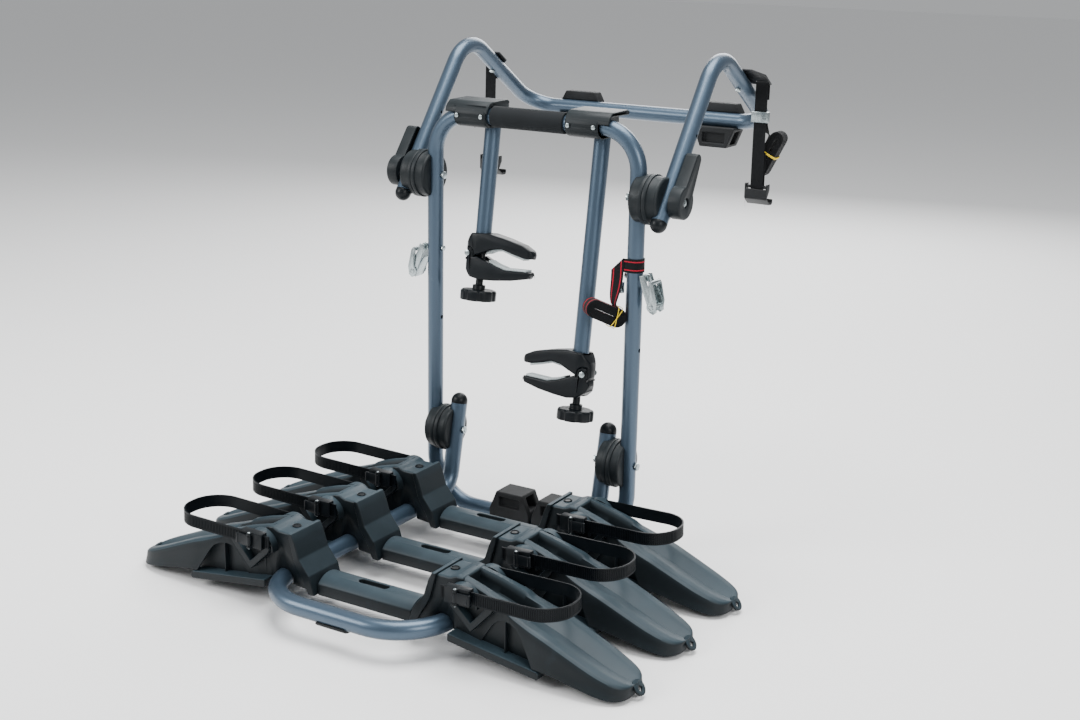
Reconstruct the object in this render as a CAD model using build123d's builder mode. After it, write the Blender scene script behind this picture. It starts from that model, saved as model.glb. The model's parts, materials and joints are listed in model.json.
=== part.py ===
# Trunk mounted rack for three bicycles.
# X runs left to right along the wheel trays, -Y points to the bicycles, +Y to the car, Z is up.
# The origin lies on the ground, in the middle of the rack's footprint.
from build123d import *
import math
import os

os.makedirs("parts", exist_ok=True)

# Driving dimensions, in millimetres and degrees

# round steel tube of the upright frame, the hoop and the bicycle arms
tube_d = 30
tube_wall = 2

# upright frame, a closed loop of tube that stands on edge
upright_spacing = 428
frame_height = 764
bottom_bar_z = 21
top_bend_r = 75
bottom_bend_r = 95
accessory_hole_z = 392
accessory_hole_d = 8

# upper hoop, which leans back and rests on the boot lid
hoop_pivot_z = 667
hoop_spacing = 540
hoop_apex_back = 185
hoop_apex_rise = 249
hoop_rest_back = 437
hoop_rest_rise = 91
hoop_apex_bend_r = 70
hoop_corner_bend_r = 60
hoop_tail = 42
hoop_hole_at = 132
hoop_hole_d = 6

# platform, a U of tube that carries the trays and folds up at the lower pivots
platform_tube_d = 32
fold_pivot_z = 172
platform_spacing = 330
platform_reach = 602
rail_z = 51
upturn_lean = 11.5
upturn_top_z = 222
upturn_bend_r = 50
platform_bend_r = 100

# wheel trays, near to far
tray_names = ("near", "mid", "far")
tray_pitch = 180
tray_far_reach = 129

# bicycle arms and their clamps, left then right
arm_x = (-109, 122)
arm_drop = (262, 451)
arm_setback = 38
arm_lean = 8.4
arm_head = 12

# webbing of the tie-down straps
webbing_width = 25
webbing_thickness = 1.6

# bolts and pins
pivot_bolt_d = 8
strap_bolt_d = 6
strap_bolt_z = 527

# clearances
running_gap = 0.05
seat_gap = 0.2
body_gap = 0.4
soft_gap = 0.3
cut_over = 2

# Sizes that follow the driving dimensions

sides = (("left", -1), ("right", 1))
tube_r = tube_d / 2
platform_r = platform_tube_d / 2
upright_x = upright_spacing / 2
hoop_x = hoop_spacing / 2
platform_x = platform_spacing / 2
top_bar_z = bottom_bar_z + frame_height
straight_bar = upright_spacing - 2 * top_bend_r
pivot_hole_d = pivot_bolt_d + 2 * running_gap
strap_hole_d = strap_bolt_d + 2 * running_gap


def write(builder, name):
    """Label one finished piece and save it."""
    builder.part.label = name
    export_step(builder.part, f"parts/{name}.step")


def facing_x(x, y, z):
    """Plane at a point whose sketch axes are Y and Z."""
    return Plane(origin=(x, y, z), x_dir=(0, 1, 0), z_dir=(1, 0, 0))


def facing_y(x, y, z):
    """Plane at a point whose sketch axes are X and Z, facing the bicycles."""
    return Plane(origin=(x, y, z), x_dir=(1, 0, 0), z_dir=(0, -1, 0))


def scaled(shares, size):
    """Points of an outline that is written in shares of one size."""
    return [(a * size, b * size) for a, b in shares]


def slab(plane, points, depth, both=False, mode=Mode.ADD):
    """Plate with a straight-sided outline."""
    with BuildSketch(plane) as shape:
        Polygon(*points, align=None)
    extrude(shape.sketch, amount=depth, both=both, mode=mode)


def rod(plane, radius, depth, both=False, mode=Mode.ADD):
    """Round bar, or a round hole where the mode subtracts."""
    with BuildSketch(plane) as shape:
        Circle(radius)
    extrude(shape.sketch, amount=depth, both=both, mode=mode)


def hexagon(plane, width, depth):
    """Bolt head or nut, its width measured across the flats."""
    with BuildSketch(plane) as shape:
        RegularPolygon(width / 2, 6, major_radius=False)
    extrude(shape.sketch, amount=depth)


def brick(plane, width, height, depth, both=False, mode=Mode.ADD):
    """Rectangular block centred on a plane's origin."""
    with BuildSketch(plane) as shape:
        Rectangle(width, height)
    extrude(shape.sketch, amount=depth, both=both, mode=mode)


def bent_tube(points, radii, diameter, holes, close=False):
    """Round tube of straight runs and bends, drilled right through where holes says."""
    with BuildPart() as body:
        with BuildLine() as path:
            FilletPolyline(*points, radius=radii, close=close)
        with BuildSketch(Plane(origin=path.line @ 0, z_dir=path.line % 0)):
            Circle(diameter / 2)
            Circle(diameter / 2 - tube_wall, mode=Mode.SUBTRACT)
        sweep()
        for plane, size in holes:
            rod(plane, size / 2, diameter, both=True, mode=Mode.SUBTRACT)
    return body


# Rubber saddles: one moulding, pushed on the hoop's crossbar and on the frame's bottom bar
saddle_base = 88
saddle_top = 58
saddle_height = 52
saddle_drop = 33
saddle_wall = 6
saddle_depth = 26
upper_saddle_x = (-152, 165)
lower_saddle_x = (-26, 68)

# The footprint runs from the front bar to the back of the upper saddles, and its middle is the origin.
front_reach = platform_reach + platform_r
back_reach = hoop_rest_back + saddle_depth
frame_y = (front_reach - back_reach) / 2
rest_y = frame_y + hoop_rest_back
rest_z = hoop_pivot_z + hoop_rest_rise


def saddle_side(height, top, up):
    """Flared half of a saddle, from the bar's centre line outwards."""
    return (
        (-saddle_base / 2, 0),
        (-saddle_base / 2, up * tube_r),
        (-top / 2, up * height),
        (top / 2, up * height),
        (saddle_base / 2, up * tube_r),
        (saddle_base / 2, 0),
    )


def add_saddle(x, y, z, up, drop):
    """Shoe round a bar: a tall hollow side with a flat end, and a short one past the bar."""
    front = facing_y(x, y, z)
    flank = facing_x(x, y, z)
    drop_top = saddle_base - (saddle_base - saddle_top) * drop / saddle_height
    slab(front, saddle_side(saddle_height, saddle_top, up), saddle_depth, both=True)
    slab(front, saddle_side(drop, drop_top, -up), saddle_depth, both=True)
    rod(flank, tube_r + seat_gap, saddle_base / 2, both=True, mode=Mode.SUBTRACT)
    hollow = saddle_height - tube_r - 2 * saddle_wall
    hollow_z = z + up * (tube_r + saddle_wall + hollow / 2)
    brick(facing_x(x, y, hollow_z), saddle_depth, hollow, saddle_base / 2, both=True, mode=Mode.SUBTRACT)


with BuildPart() as lower_saddles:
    for saddle_x in lower_saddle_x:
        add_saddle(saddle_x, frame_y, bottom_bar_z, 1, bottom_bar_z)
write(lower_saddles, "lower_saddles")

with BuildPart() as upper_saddles:
    for saddle_x in upper_saddle_x:
        add_saddle(saddle_x, rest_y, rest_z, -1, saddle_drop)
write(upper_saddles, "upper_saddles")

# Upright frame: a loop of tube, drilled for the pivots, the strap bolts and accessories
frame_holes = []
for side, s in sides:
    frame_holes.append((facing_x(s * upright_x, frame_y, hoop_pivot_z), pivot_hole_d))
    frame_holes.append((facing_x(s * upright_x, frame_y, fold_pivot_z), pivot_hole_d))
    frame_holes.append((facing_x(s * upright_x, frame_y, strap_bolt_z), strap_hole_d))
    frame_holes.append((facing_x(s * upright_x, frame_y, accessory_hole_z), accessory_hole_d))
upright_frame = bent_tube(
    [
        (-upright_x, frame_y, top_bar_z),
        (upright_x, frame_y, top_bar_z),
        (upright_x, frame_y, bottom_bar_z),
        (-upright_x, frame_y, bottom_bar_z),
    ],
    [top_bend_r, top_bend_r, bottom_bend_r, bottom_bend_r],
    tube_d,
    frame_holes,
    close=True,
)
write(upright_frame, "upright_frame")

# Foam grip on the top bar, between the two arm brackets
grip_left = -85
grip_right = 67
grip_wall = 4.5

with BuildPart() as foam_grip:
    with BuildSketch(facing_x(grip_left, frame_y, top_bar_z)):
        Circle(tube_r + grip_wall)
        Circle(tube_r + seat_gap, mode=Mode.SUBTRACT)
    extrude(amount=grip_right - grip_left)
write(foam_grip, "foam_grip")

# Hoop: two leaning arms, two bends over the boot edge and a crossbar behind
hoop_length = math.hypot(hoop_apex_back, hoop_apex_rise)
hoop_up = Vector(0, hoop_apex_back / hoop_length, hoop_apex_rise / hoop_length)
fall_back = hoop_rest_back - hoop_apex_back
fall_rise = hoop_rest_rise - hoop_apex_rise
fall_length = math.hypot(fall_back, fall_rise)
hoop_fall = Vector(0, fall_back / fall_length, fall_rise / fall_length)
hoop_over = Vector(0, -hoop_fall.Z, hoop_fall.Y)

# the strap brackets stand on the falling run, this far from the apex corner
strap_mount_at = 124


def hoop_pivot(s):
    return Vector(s * hoop_x, frame_y, hoop_pivot_z)


def strap_mount(s):
    apex = hoop_pivot(s) + Vector(0, hoop_apex_back, hoop_apex_rise)
    return apex + hoop_fall * strap_mount_at


hoop_points = []
hoop_holes = []
for side, s in sides:
    pivot = hoop_pivot(s)
    run = [
        pivot - hoop_up * hoop_tail,
        pivot + Vector(0, hoop_apex_back, hoop_apex_rise),
        pivot + Vector(0, hoop_rest_back, hoop_rest_rise),
    ]
    hoop_points += run if s < 0 else run[::-1]
    hole = pivot + hoop_up * hoop_hole_at
    hoop_holes.append((facing_x(pivot.X, pivot.Y, pivot.Z), pivot_hole_d))
    hoop_holes.append((facing_x(hole.X, hole.Y, hole.Z), hoop_hole_d))
    hoop_holes.append((Plane(origin=strap_mount(s), z_dir=hoop_over), strap_hole_d))
hoop = bent_tube(
    hoop_points,
    [hoop_apex_bend_r, hoop_corner_bend_r, hoop_corner_bend_r, hoop_apex_bend_r],
    tube_d,
    hoop_holes,
)
write(hoop, "hoop")

# Platform: its upturned ends lean back a little, so that the trays lie level
upturn = math.radians(upturn_lean)
platform_up = Vector(0, math.sin(upturn), math.cos(upturn))
upturn_rise = (upturn_top_z - fold_pivot_z) / math.cos(upturn)
upturn_fall = (fold_pivot_z - rail_z) / math.cos(upturn)


def platform_pivot(s):
    return Vector(s * platform_x, frame_y, fold_pivot_z)


platform_points = []
platform_holes = []
for side, s in sides:
    pivot = platform_pivot(s)
    run = [
        pivot + platform_up * upturn_rise,
        pivot - platform_up * upturn_fall,
        Vector(s * platform_x, frame_y - platform_reach, rail_z),
    ]
    platform_points += run if s < 0 else run[::-1]
    platform_holes.append((facing_x(pivot.X, pivot.Y, pivot.Z), pivot_hole_d))
platform_frame = bent_tube(
    platform_points,
    [upturn_bend_r, platform_bend_r, platform_bend_r, upturn_bend_r],
    platform_tube_d,
    platform_holes,
)
write(platform_frame, "platform_frame")

# Plastic caps in the open tube ends: a plug, a rim and a dome
cap_rim = 4
cap_plug = 14


def add_cap(end, outward, radius):
    plug = Plane(origin=end - outward * cap_plug, z_dir=outward)
    rod(plug, radius - tube_wall - seat_gap, cap_plug + cap_rim)
    rod(Plane(origin=end + outward * seat_gap, z_dir=outward), radius, cap_rim)
    with Locations(Plane(origin=end + outward * (seat_gap + cap_rim), z_dir=outward)):
        Sphere(radius, arc_size1=0, align=(Align.CENTER, Align.CENTER, Align.MIN))


with BuildPart() as hoop_caps:
    for side, s in sides:
        add_cap(hoop_pivot(s) - hoop_up * hoop_tail, -hoop_up, tube_r)
write(hoop_caps, "hoop_caps")

with BuildPart() as platform_caps:
    for side, s in sides:
        add_cap(platform_pivot(s) + platform_up * upturn_rise, platform_up, platform_r)
write(platform_caps, "platform_caps")

# Pivot hubs: a pair of half discs at each pivot, grooved to grip the tubes they stand on
hub_d = 90
hub_edge = 6
hub_step = 3
hub_step_width = 8


def add_hub(tube_x, mate_x, z, along, radius):
    """Half disc from a tube's centre plane to its mate, with a raised rim on the mating side."""
    inward = 1 if mate_x > tube_x else -1
    reach = abs(mate_x - tube_x) - body_gap / 2
    body_r = hub_d / 2 - hub_step
    half = Plane(origin=(tube_x, frame_y, z), x_dir=(inward, 0, 0), z_dir=(0, -inward, 0))
    with BuildSketch(half) as profile:
        with BuildLine():
            Line((0, 0), (0, body_r - hub_edge))
            TangentArc((0, body_r - hub_edge), (hub_edge, body_r), tangent=(0, 1))
            Polyline(
                (hub_edge, body_r),
                (reach - hub_step_width, body_r),
                (reach - hub_step_width, hub_d / 2),
                (reach, hub_d / 2),
                (reach, 0),
                (0, 0),
            )
        make_face()
    revolve(profile.sketch, axis=Axis((tube_x, frame_y, z), (1, 0, 0)))
    groove = Plane(origin=(tube_x, frame_y, z), z_dir=along)
    rod(groove, radius + seat_gap, hub_d, both=True, mode=Mode.SUBTRACT)
    rod(facing_x(tube_x, frame_y, z), pivot_hole_d / 2, reach + cut_over, both=True, mode=Mode.SUBTRACT)


upper_mate_x = (upright_x + hoop_x) / 2
lower_mate_x = (upright_x + platform_x) / 2
upward = Vector(0, 0, 1)

with BuildPart() as frame_hubs:
    for side, s in sides:
        add_hub(s * upright_x, s * upper_mate_x, hoop_pivot_z, upward, tube_r)
        add_hub(s * upright_x, s * lower_mate_x, fold_pivot_z, upward, tube_r)
write(frame_hubs, "frame_hubs")

with BuildPart() as hoop_hubs:
    for side, s in sides:
        add_hub(s * hoop_x, s * upper_mate_x, hoop_pivot_z, hoop_up, tube_r)
write(hoop_hubs, "hoop_hubs")

with BuildPart() as platform_hubs:
    for side, s in sides:
        add_hub(s * platform_x, s * lower_mate_x, fold_pivot_z, platform_up, platform_r)
write(platform_hubs, "platform_hubs")

# Clamp levers outside the upper pivots: a thick hub with a nut recess and a long tapered handle
lever_hub_d = 58
lever_root_d = 38
lever_tip_d = 21
lever_length = 82
lever_thickness = 23
lever_lean = 32
lever_edge = 3
lever_wall = 4
lever_pocket = 10
bolt_head_w = 13
bolt_head_h = 6
nut_clearance = 1.5
lever_x = hoop_x + tube_r + body_gap
nut_recess = bolt_head_h + nut_clearance
nut_recess_r = bolt_head_w / 2 + 2 * nut_clearance


def lever_place(distance):
    """Sketch place on the lever's centre line, this far from the pivot."""
    turn = math.radians(lever_lean)
    return (distance * math.sin(turn), distance * math.cos(turn))


for side, s in sides:
    inner = Plane(origin=(s * lever_x, frame_y, hoop_pivot_z), x_dir=(0, 1, 0), z_dir=(1, 0, 0))
    with BuildPart() as pivot_lever:
        with BuildSketch(inner):
            Circle(lever_hub_d / 2)
        extrude(amount=s * lever_thickness)
        with BuildSketch(inner):
            Circle(lever_root_d / 2)
            with Locations(lever_place(lever_length)):
                Circle(lever_tip_d / 2)
            make_hull()
        extrude(amount=s * lever_thickness)
        fillet(pivot_lever.faces().sort_by(Axis.X)[-1 if s > 0 else 0].edges(), lever_edge)
        with BuildSketch(inner):
            with Locations(lever_place(lever_hub_d / 2 + lever_wall)):
                Circle(lever_root_d / 2 - 2 * lever_wall)
            with Locations(lever_place(lever_length)):
                Circle(lever_tip_d / 2 - lever_wall)
            make_hull()
        extrude(amount=s * lever_pocket, mode=Mode.SUBTRACT)
        with BuildSketch(inner):
            Circle(pivot_hole_d / 2)
        extrude(amount=s * lever_thickness, mode=Mode.SUBTRACT)
        with BuildSketch(inner.offset(s * (lever_thickness - nut_recess))):
            Circle(nut_recess_r)
        extrude(amount=s * nut_recess, mode=Mode.SUBTRACT)
    write(pivot_lever, f"pivot_lever_{side}")


# Through bolts of the four pivots: hexagon head, shank and nut
def add_through_bolt(start_x, end_x, z):
    """Bolt along X with its head outside start_x and its nut outside end_x."""
    way = 1 if end_x > start_x else -1
    length = abs(end_x - start_x)
    start = Plane(origin=(start_x, frame_y, z), x_dir=(0, 1, 0), z_dir=(way, 0, 0))
    hexagon(start, bolt_head_w, -bolt_head_h)
    rod(start, pivot_bolt_d / 2, length + bolt_head_h)
    hexagon(start.offset(length), bolt_head_w, bolt_head_h - nut_clearance)


with BuildPart() as pivot_bolts:
    for side, s in sides:
        upper_head = upright_x - tube_r - seat_gap
        upper_nut = lever_x + lever_thickness - nut_recess + seat_gap
        lower_head = upright_x + tube_r + seat_gap
        lower_nut = platform_x - platform_r - body_gap
        add_through_bolt(s * upper_head, s * upper_nut, hoop_pivot_z)
        add_through_bolt(s * lower_head, s * lower_nut, fold_pivot_z)
write(pivot_bolts, "pivot_bolts")

# Arm brackets: a collar that turns on the top bar, a socket block behind it and a roof over both
collar_x = (-126, 108)
collar_length = 68
collar_wall = 7
collar_edge = 2
relief = 4
socket_wall = 5
socket_drop = 22
roof_gap = 3.5
roof_thickness = 7
roof_overhang = 20
socket_depth = 90
screw_d = 4
screw_head_d = 8
screw_head_h = 2.5
collar_r = tube_r + collar_wall
socket_half = tube_r + socket_wall
roof_under = tube_r + roof_gap
roof_top = roof_under + roof_thickness
arm_y = frame_y + arm_setback
roof_back = arm_setback + socket_half

arm_tilt = math.radians(arm_lean)
arm_up = Vector(0, math.sin(arm_tilt), math.cos(arm_tilt))


def arm_axis(index, below):
    """Plane square to an arm's tube, this far below the top bar's centre line."""
    origin = Vector(arm_x[index], arm_y, top_bar_z) - arm_up * below
    return Plane(origin=origin, x_dir=(1, 0, 0), z_dir=arm_up)


for index, (side, s) in enumerate(sides):
    middle = facing_x(collar_x[index], frame_y, top_bar_z)
    with BuildPart() as arm_bracket:
        rod(middle, collar_r, collar_length / 2, both=True)
        chamfer(arm_bracket.edges().filter_by(GeomType.CIRCLE), collar_edge)
        block = ((0, -socket_drop), (0, roof_top), (roof_back, roof_under), (roof_back, -socket_drop))
        slab(facing_x(arm_x[index], frame_y, top_bar_z), block, socket_half, both=True)
        roof = (
            (-tube_r, roof_under),
            (-socket_wall, roof_top),
            (roof_back - tube_r, roof_top),
            (roof_back, roof_under),
        )
        roof_start = facing_x(collar_x[index] - s * collar_length / 2, frame_y, top_bar_z)
        slab(roof_start, roof, s * (collar_length + roof_overhang))
        rod(middle, tube_r + running_gap, collar_length, both=True, mode=Mode.SUBTRACT)
        outside = facing_x(s * (straight_bar / 2 - relief), frame_y, top_bar_z)
        rod(outside, tube_r + relief, s * collar_length, mode=Mode.SUBTRACT)
        rod(arm_axis(index, -arm_head - seat_gap), tube_r + seat_gap, -socket_depth, mode=Mode.SUBTRACT)
        for end in (-1, 1):
            screw_x = collar_x[index] + end * (collar_length / 2 - screw_head_d)
            rod(facing_y(screw_x, frame_y, top_bar_z), screw_d / 2, collar_r, mode=Mode.SUBTRACT)
    write(arm_bracket, f"arm_bracket_{side}")

# Clamps: seen square to the jaws, u runs out along them and v runs up the arm
jaw_reach = 117
jaw_half = 23
jaw_tip_half = 13
knuckle_r = 12
knuckle_half = 13.5
clamp_pin_d = 6
clamp_pin_head_d = 11
clamp_pin_head_h = 1.5
liner_thickness = 4
liner_half = 11
arm_insert = 14
stem_d = 14
stem_top = 11
stem_slot = (-13, 21)
knob_d = 68
knob_top = 66
knob_height = 20
knob_lobes = 7
knob_scallop_r = 8
knob_scallop_in = 2.5
knob_edge = 3
knob_collar_d = 24
knob_collar_h = 9
pin_share = (-0.154, 0.017)
upper_jaw_shares = (
    (-0.26, 0.05), (-0.22, 0.21), (-0.12, 0.34), (0.17, 0.36), (0.48, 0.31), (0.79, 0.24), (0.96, 0.16),
    (1.0, 0.10), (0.97, 0.035), (0.84, 0.035), (0.62, 0.085), (0.44, 0.137), (0.26, 0.11), (0.085, 0.034),
    (-0.07, -0.026),
)
lower_jaw_shares = (
    (-0.19, -0.05), (-0.24, -0.14), (-0.205, -0.26), (-0.085, -0.36), (0.10, -0.39), (0.34, -0.376),
    (0.64, -0.34), (0.92, -0.28), (0.966, -0.22), (0.94, -0.17), (0.735, -0.18), (0.51, -0.19),
    (0.325, -0.145), (0.17, -0.085), (0.017, -0.026),
)
upper_liner_shares = ((0.84, 0.035), (0.62, 0.085), (0.44, 0.137), (0.26, 0.11), (0.14, 0.056))
lower_liner_shares = ((0.90, -0.171), (0.735, -0.179), (0.51, -0.189), (0.325, -0.144), (0.20, -0.095))
pin_u = pin_share[0] * jaw_reach
pin_v = pin_share[1] * jaw_reach


def clamp_plane(index, s):
    """Plane through the middle of a clamp, with u outwards along the jaws and v up the arm."""
    normal = Vector(0, -math.cos(arm_tilt), math.sin(arm_tilt)) * -s
    origin = Vector(arm_x[index], arm_y, top_bar_z) - arm_up * arm_drop[index]
    return Plane(origin=origin, x_dir=(-s, 0, 0), z_dir=normal)


def in_clamp(plane, u, v):
    """The same plane, moved to a place in it."""
    return Plane(origin=plane.from_local_coords(Vector(u, v, 0)), x_dir=plane.x_dir, z_dir=plane.z_dir)


def taper_plan(plane):
    """Keep what lies inside the jaws' plan: round behind the arm, narrow at the tips."""
    plan = Plane(origin=plane.origin, x_dir=plane.x_dir, z_dir=arm_up)
    with BuildSketch(plan) as shape:
        with Locations((-(knuckle_r / 2), 0)):
            Circle(jaw_half + body_gap)
        with Locations((jaw_reach - jaw_tip_half, 0)):
            Circle(jaw_tip_half)
        make_hull()
    extrude(shape.sketch, amount=jaw_reach, both=True, mode=Mode.INTERSECT)


def add_liner(plane, shares, inward):
    """Soft pad that follows the mouth of one jaw."""
    face = scaled(shares, jaw_reach)
    back = [(u, v + inward * liner_thickness) for u, v in reversed(face)]
    slab(plane, face + back, liner_half, both=True)


for index, (side, s) in enumerate(sides):
    clamp = clamp_plane(index, s)
    pin = in_clamp(clamp, pin_u, pin_v)
    below = arm_drop[index]

    # the arm's tube, from its socket down into the fixed upper jaw
    with BuildPart() as bike_arm:
        with BuildSketch(arm_axis(index, below - arm_insert)):
            Circle(tube_r)
            Circle(tube_r - tube_wall, mode=Mode.SUBTRACT)
        extrude(amount=below - arm_insert + arm_head)
    write(bike_arm, f"bike_arm_{side}")

    # the upper jaw, with its knuckle between the lower jaw's cheeks
    with BuildPart() as clamp_body:
        slab(clamp, scaled(upper_jaw_shares, jaw_reach), jaw_half, both=True)
        rod(pin, knuckle_r, knuckle_half, both=True)
        taper_plan(clamp)
        for way in (-1, 1):
            cheek_origin = pin.origin + pin.z_dir * (way * knuckle_half)
            cheek = Plane(origin=cheek_origin, x_dir=pin.x_dir, z_dir=pin.z_dir)
            rod(cheek, knuckle_r + body_gap, way * jaw_half, mode=Mode.SUBTRACT)
        rod(pin, clamp_pin_d / 2 + running_gap, jaw_half, both=True, mode=Mode.SUBTRACT)
        socket = arm_axis(index, below - arm_insert + seat_gap)
        rod(socket, tube_r + seat_gap, jaw_reach, mode=Mode.SUBTRACT)
        stem_hole = arm_axis(index, below - stem_top - seat_gap)
        rod(stem_hole, stem_d / 2 + running_gap, -jaw_reach, mode=Mode.SUBTRACT)
    write(clamp_body, f"clamp_body_{side}")

    # the lower jaw, slotted for the knob's stem
    with BuildPart() as clamp_jaw:
        slab(clamp, scaled(lower_jaw_shares, jaw_reach), jaw_half, both=True)
        rod(pin, knuckle_r, jaw_half, both=True)
        taper_plan(clamp)
        rod(pin, knuckle_r + body_gap, knuckle_half + body_gap, both=True, mode=Mode.SUBTRACT)
        slot_middle = in_clamp(clamp, (stem_slot[0] + stem_slot[1]) / 2, 0)
        slot = Plane(origin=slot_middle.origin, x_dir=clamp.x_dir, z_dir=arm_up)
        slot_length = stem_slot[1] - stem_slot[0]
        brick(slot, slot_length, stem_d + 2 * body_gap, jaw_reach, both=True, mode=Mode.SUBTRACT)
        rod(pin, clamp_pin_d / 2 + running_gap, jaw_half, both=True, mode=Mode.SUBTRACT)
    write(clamp_jaw, f"clamp_jaw_{side}")

    with BuildPart() as liner_upper:
        add_liner(clamp, upper_liner_shares, -1)
    write(liner_upper, f"liner_upper_{side}")

    with BuildPart() as liner_lower:
        add_liner(clamp, lower_liner_shares, 1)
    write(liner_lower, f"liner_lower_{side}")

    # the knob that draws the jaws together: scalloped disc, collar and stem
    with BuildPart() as clamp_knob:
        with BuildSketch(arm_axis(index, below + knob_top)):
            Circle(knob_d / 2)
            with PolarLocations(knob_d / 2 + knob_scallop_r - knob_scallop_in, knob_lobes):
                Circle(knob_scallop_r, mode=Mode.SUBTRACT)
        extrude(amount=-knob_height)
        chamfer(clamp_knob.faces().sort_by(Axis.Z)[-1].edges(), knob_edge)
        rod(arm_axis(index, below + knob_top), knob_collar_d / 2, knob_collar_h)
        rod(arm_axis(index, below + knob_top), stem_d / 2, knob_top + stem_top)
    write(clamp_knob, f"clamp_knob_{side}")

    # the collar's two screws and the clamp's pin
    with BuildPart() as holder_fasteners:
        for end in (-1, 1):
            screw_x = collar_x[index] + end * (collar_length / 2 - screw_head_d)
            screw = facing_y(screw_x, frame_y - collar_r - seat_gap, top_bar_z)
            rod(screw, screw_head_d / 2, screw_head_h)
            rod(screw, screw_d / 2 - seat_gap / 2, -collar_wall)
        rod(pin, clamp_pin_d / 2, jaw_half + seat_gap, both=True)
        for way in (-1, 1):
            head_origin = pin.origin + pin.z_dir * (way * (jaw_half + seat_gap))
            head = Plane(origin=head_origin, x_dir=pin.x_dir, z_dir=pin.z_dir)
            rod(head, clamp_pin_head_d / 2, way * clamp_pin_head_h)
    write(holder_fasteners, f"holder_fasteners_{side}")

# Rolled webbing: a flat spiral with two straight sides, its loops a steady pitch apart
roll_pitch = 2.4
roll_inner_r = 4
gap_samples = 24


def least_gap(edges):
    """Least clear distance between the loops of a rolled strap, measured on points."""
    points = [edge @ (i / gap_samples) for edge in edges for i in range(gap_samples)]
    apart = 3 * gap_samples
    centres = min((p - q).length for i, p in enumerate(points) for q in points[i + apart :])
    return centres - webbing_thickness


def add_roll(name, plane, straight, loops):
    """Webbing wound from the inside out, as wide as the webbing on both sides of the plane."""
    half = straight / 2
    with BuildSketch(plane) as face:
        with BuildLine() as chain:
            for turn in range(loops):
                r = roll_inner_r + turn * roll_pitch
                ThreePointArc((half, -r), (half + r, 0), (half, r))
                Line((half, r), (-half, r))
                wide = r + roll_pitch / 2
                ThreePointArc((-half, r), (-half - wide, -roll_pitch / 2), (-half, -r - roll_pitch))
                Line((-half, -r - roll_pitch), (half, -r - roll_pitch))
            print(name, "least gap between loops", round(least_gap(chain.edges()), 3))
            offset(amount=webbing_thickness / 2, side=Side.BOTH)
        make_face()
    extrude(face.sketch, amount=webbing_width / 2, both=True)


def roll_height(loops):
    """Outer height of a roll, across its straight sides."""
    return 2 * roll_inner_r + (2 * loops - 1) * roll_pitch + webbing_thickness


def add_tail(start, finish):
    """Webbing that turns from one flat end to another."""
    with BuildSketch(start) as first:
        Rectangle(webbing_width, webbing_thickness)
    with BuildSketch(finish) as last:
        Rectangle(webbing_width, webbing_thickness)
    loft(Sketch() + [first.sketch, last.sketch], ruled=True)


def add_band(plane, height):
    """Rubber band round a roll."""
    inner_w = webbing_width + 2 * soft_gap
    inner_h = height + 2 * soft_gap
    with BuildSketch(plane) as ring:
        Rectangle(inner_w + 2 * band_thickness, inner_h + 2 * band_thickness)
        Rectangle(inner_w, inner_h, mode=Mode.SUBTRACT)
    extrude(ring.sketch, amount=band_width / 2, both=True)


band_thickness = 1
band_width = 3

# Lower strap: a wrap round the right upright, a tail folded down and a roll that hangs beside it
wrap_z = 547.5
wrap_from = 60
tail_x = 188
roll_loops = 6
roll_straight = 48
roll_turn = 48
roll_slope = 25
roll_out_x = 39
roll_out_y = 36.6
roll_z = 464
roll_tail_at = 13
roll_band_at = 22
wrap_r = tube_r + soft_gap + webbing_thickness / 2
roll_r = roll_inner_r + roll_loops * roll_pitch

turn_angle = math.radians(roll_turn)
slope_angle = math.radians(roll_slope)
roll_side = Vector(math.sin(turn_angle), -math.cos(turn_angle), 0)
roll_level = Vector(math.cos(turn_angle), math.sin(turn_angle), 0)
roll_along = roll_level * math.cos(slope_angle) - Vector(0, 0, math.sin(slope_angle))
roll_up = roll_level * math.sin(slope_angle) + Vector(0, 0, math.cos(slope_angle))
roll_centre = Vector(upright_x - roll_out_x, frame_y - roll_out_y, roll_z)
roll_middle = roll_centre - roll_up * (roll_pitch / 2)
tail_y = frame_y - wrap_r - webbing_thickness
tail_top = Vector(tail_x, tail_y, wrap_z - webbing_width / 2)
tail_end = roll_centre + roll_along * roll_tail_at + roll_up * (roll_r - roll_pitch)

with BuildPart() as lower_strap:
    with BuildSketch(Plane.XY.offset(wrap_z - webbing_width / 2)) as wrap_face:
        with BuildLine():
            CenterArc((upright_x, frame_y), wrap_r, wrap_from, -90 - wrap_from)
            Line((upright_x, frame_y - wrap_r), (tail_x - webbing_width / 2, frame_y - wrap_r))
            offset(amount=webbing_thickness / 2, side=Side.BOTH)
        make_face()
    extrude(wrap_face.sketch, amount=webbing_width)
    fold = facing_y(tail_x, tail_y + webbing_thickness / 2, wrap_z)
    brick(fold, webbing_width, webbing_width, webbing_thickness, both=True)
    tail_start = Plane(origin=tail_top, x_dir=(1, 0, 0), z_dir=(0, 0, -1))
    add_tail(tail_start, Plane(origin=tail_end, x_dir=roll_side, z_dir=(0, 0, -1)))
    # the roll is one plain solid of the wound strap's outer size
    with BuildSketch(Plane(origin=roll_middle, x_dir=roll_along, z_dir=roll_side)) as roll_face:
        SlotCenterToCenter(roll_straight - roll_pitch, roll_height(roll_loops))
    extrude(roll_face.sketch, amount=webbing_width / 2, both=True)
write(lower_strap, "lower_strap")

with BuildPart() as lower_band:
    band_centre = roll_middle + roll_along * roll_band_at
    add_band(Plane(origin=band_centre, x_dir=roll_side, z_dir=roll_along), roll_height(roll_loops))
write(lower_band, "lower_band")

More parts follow.
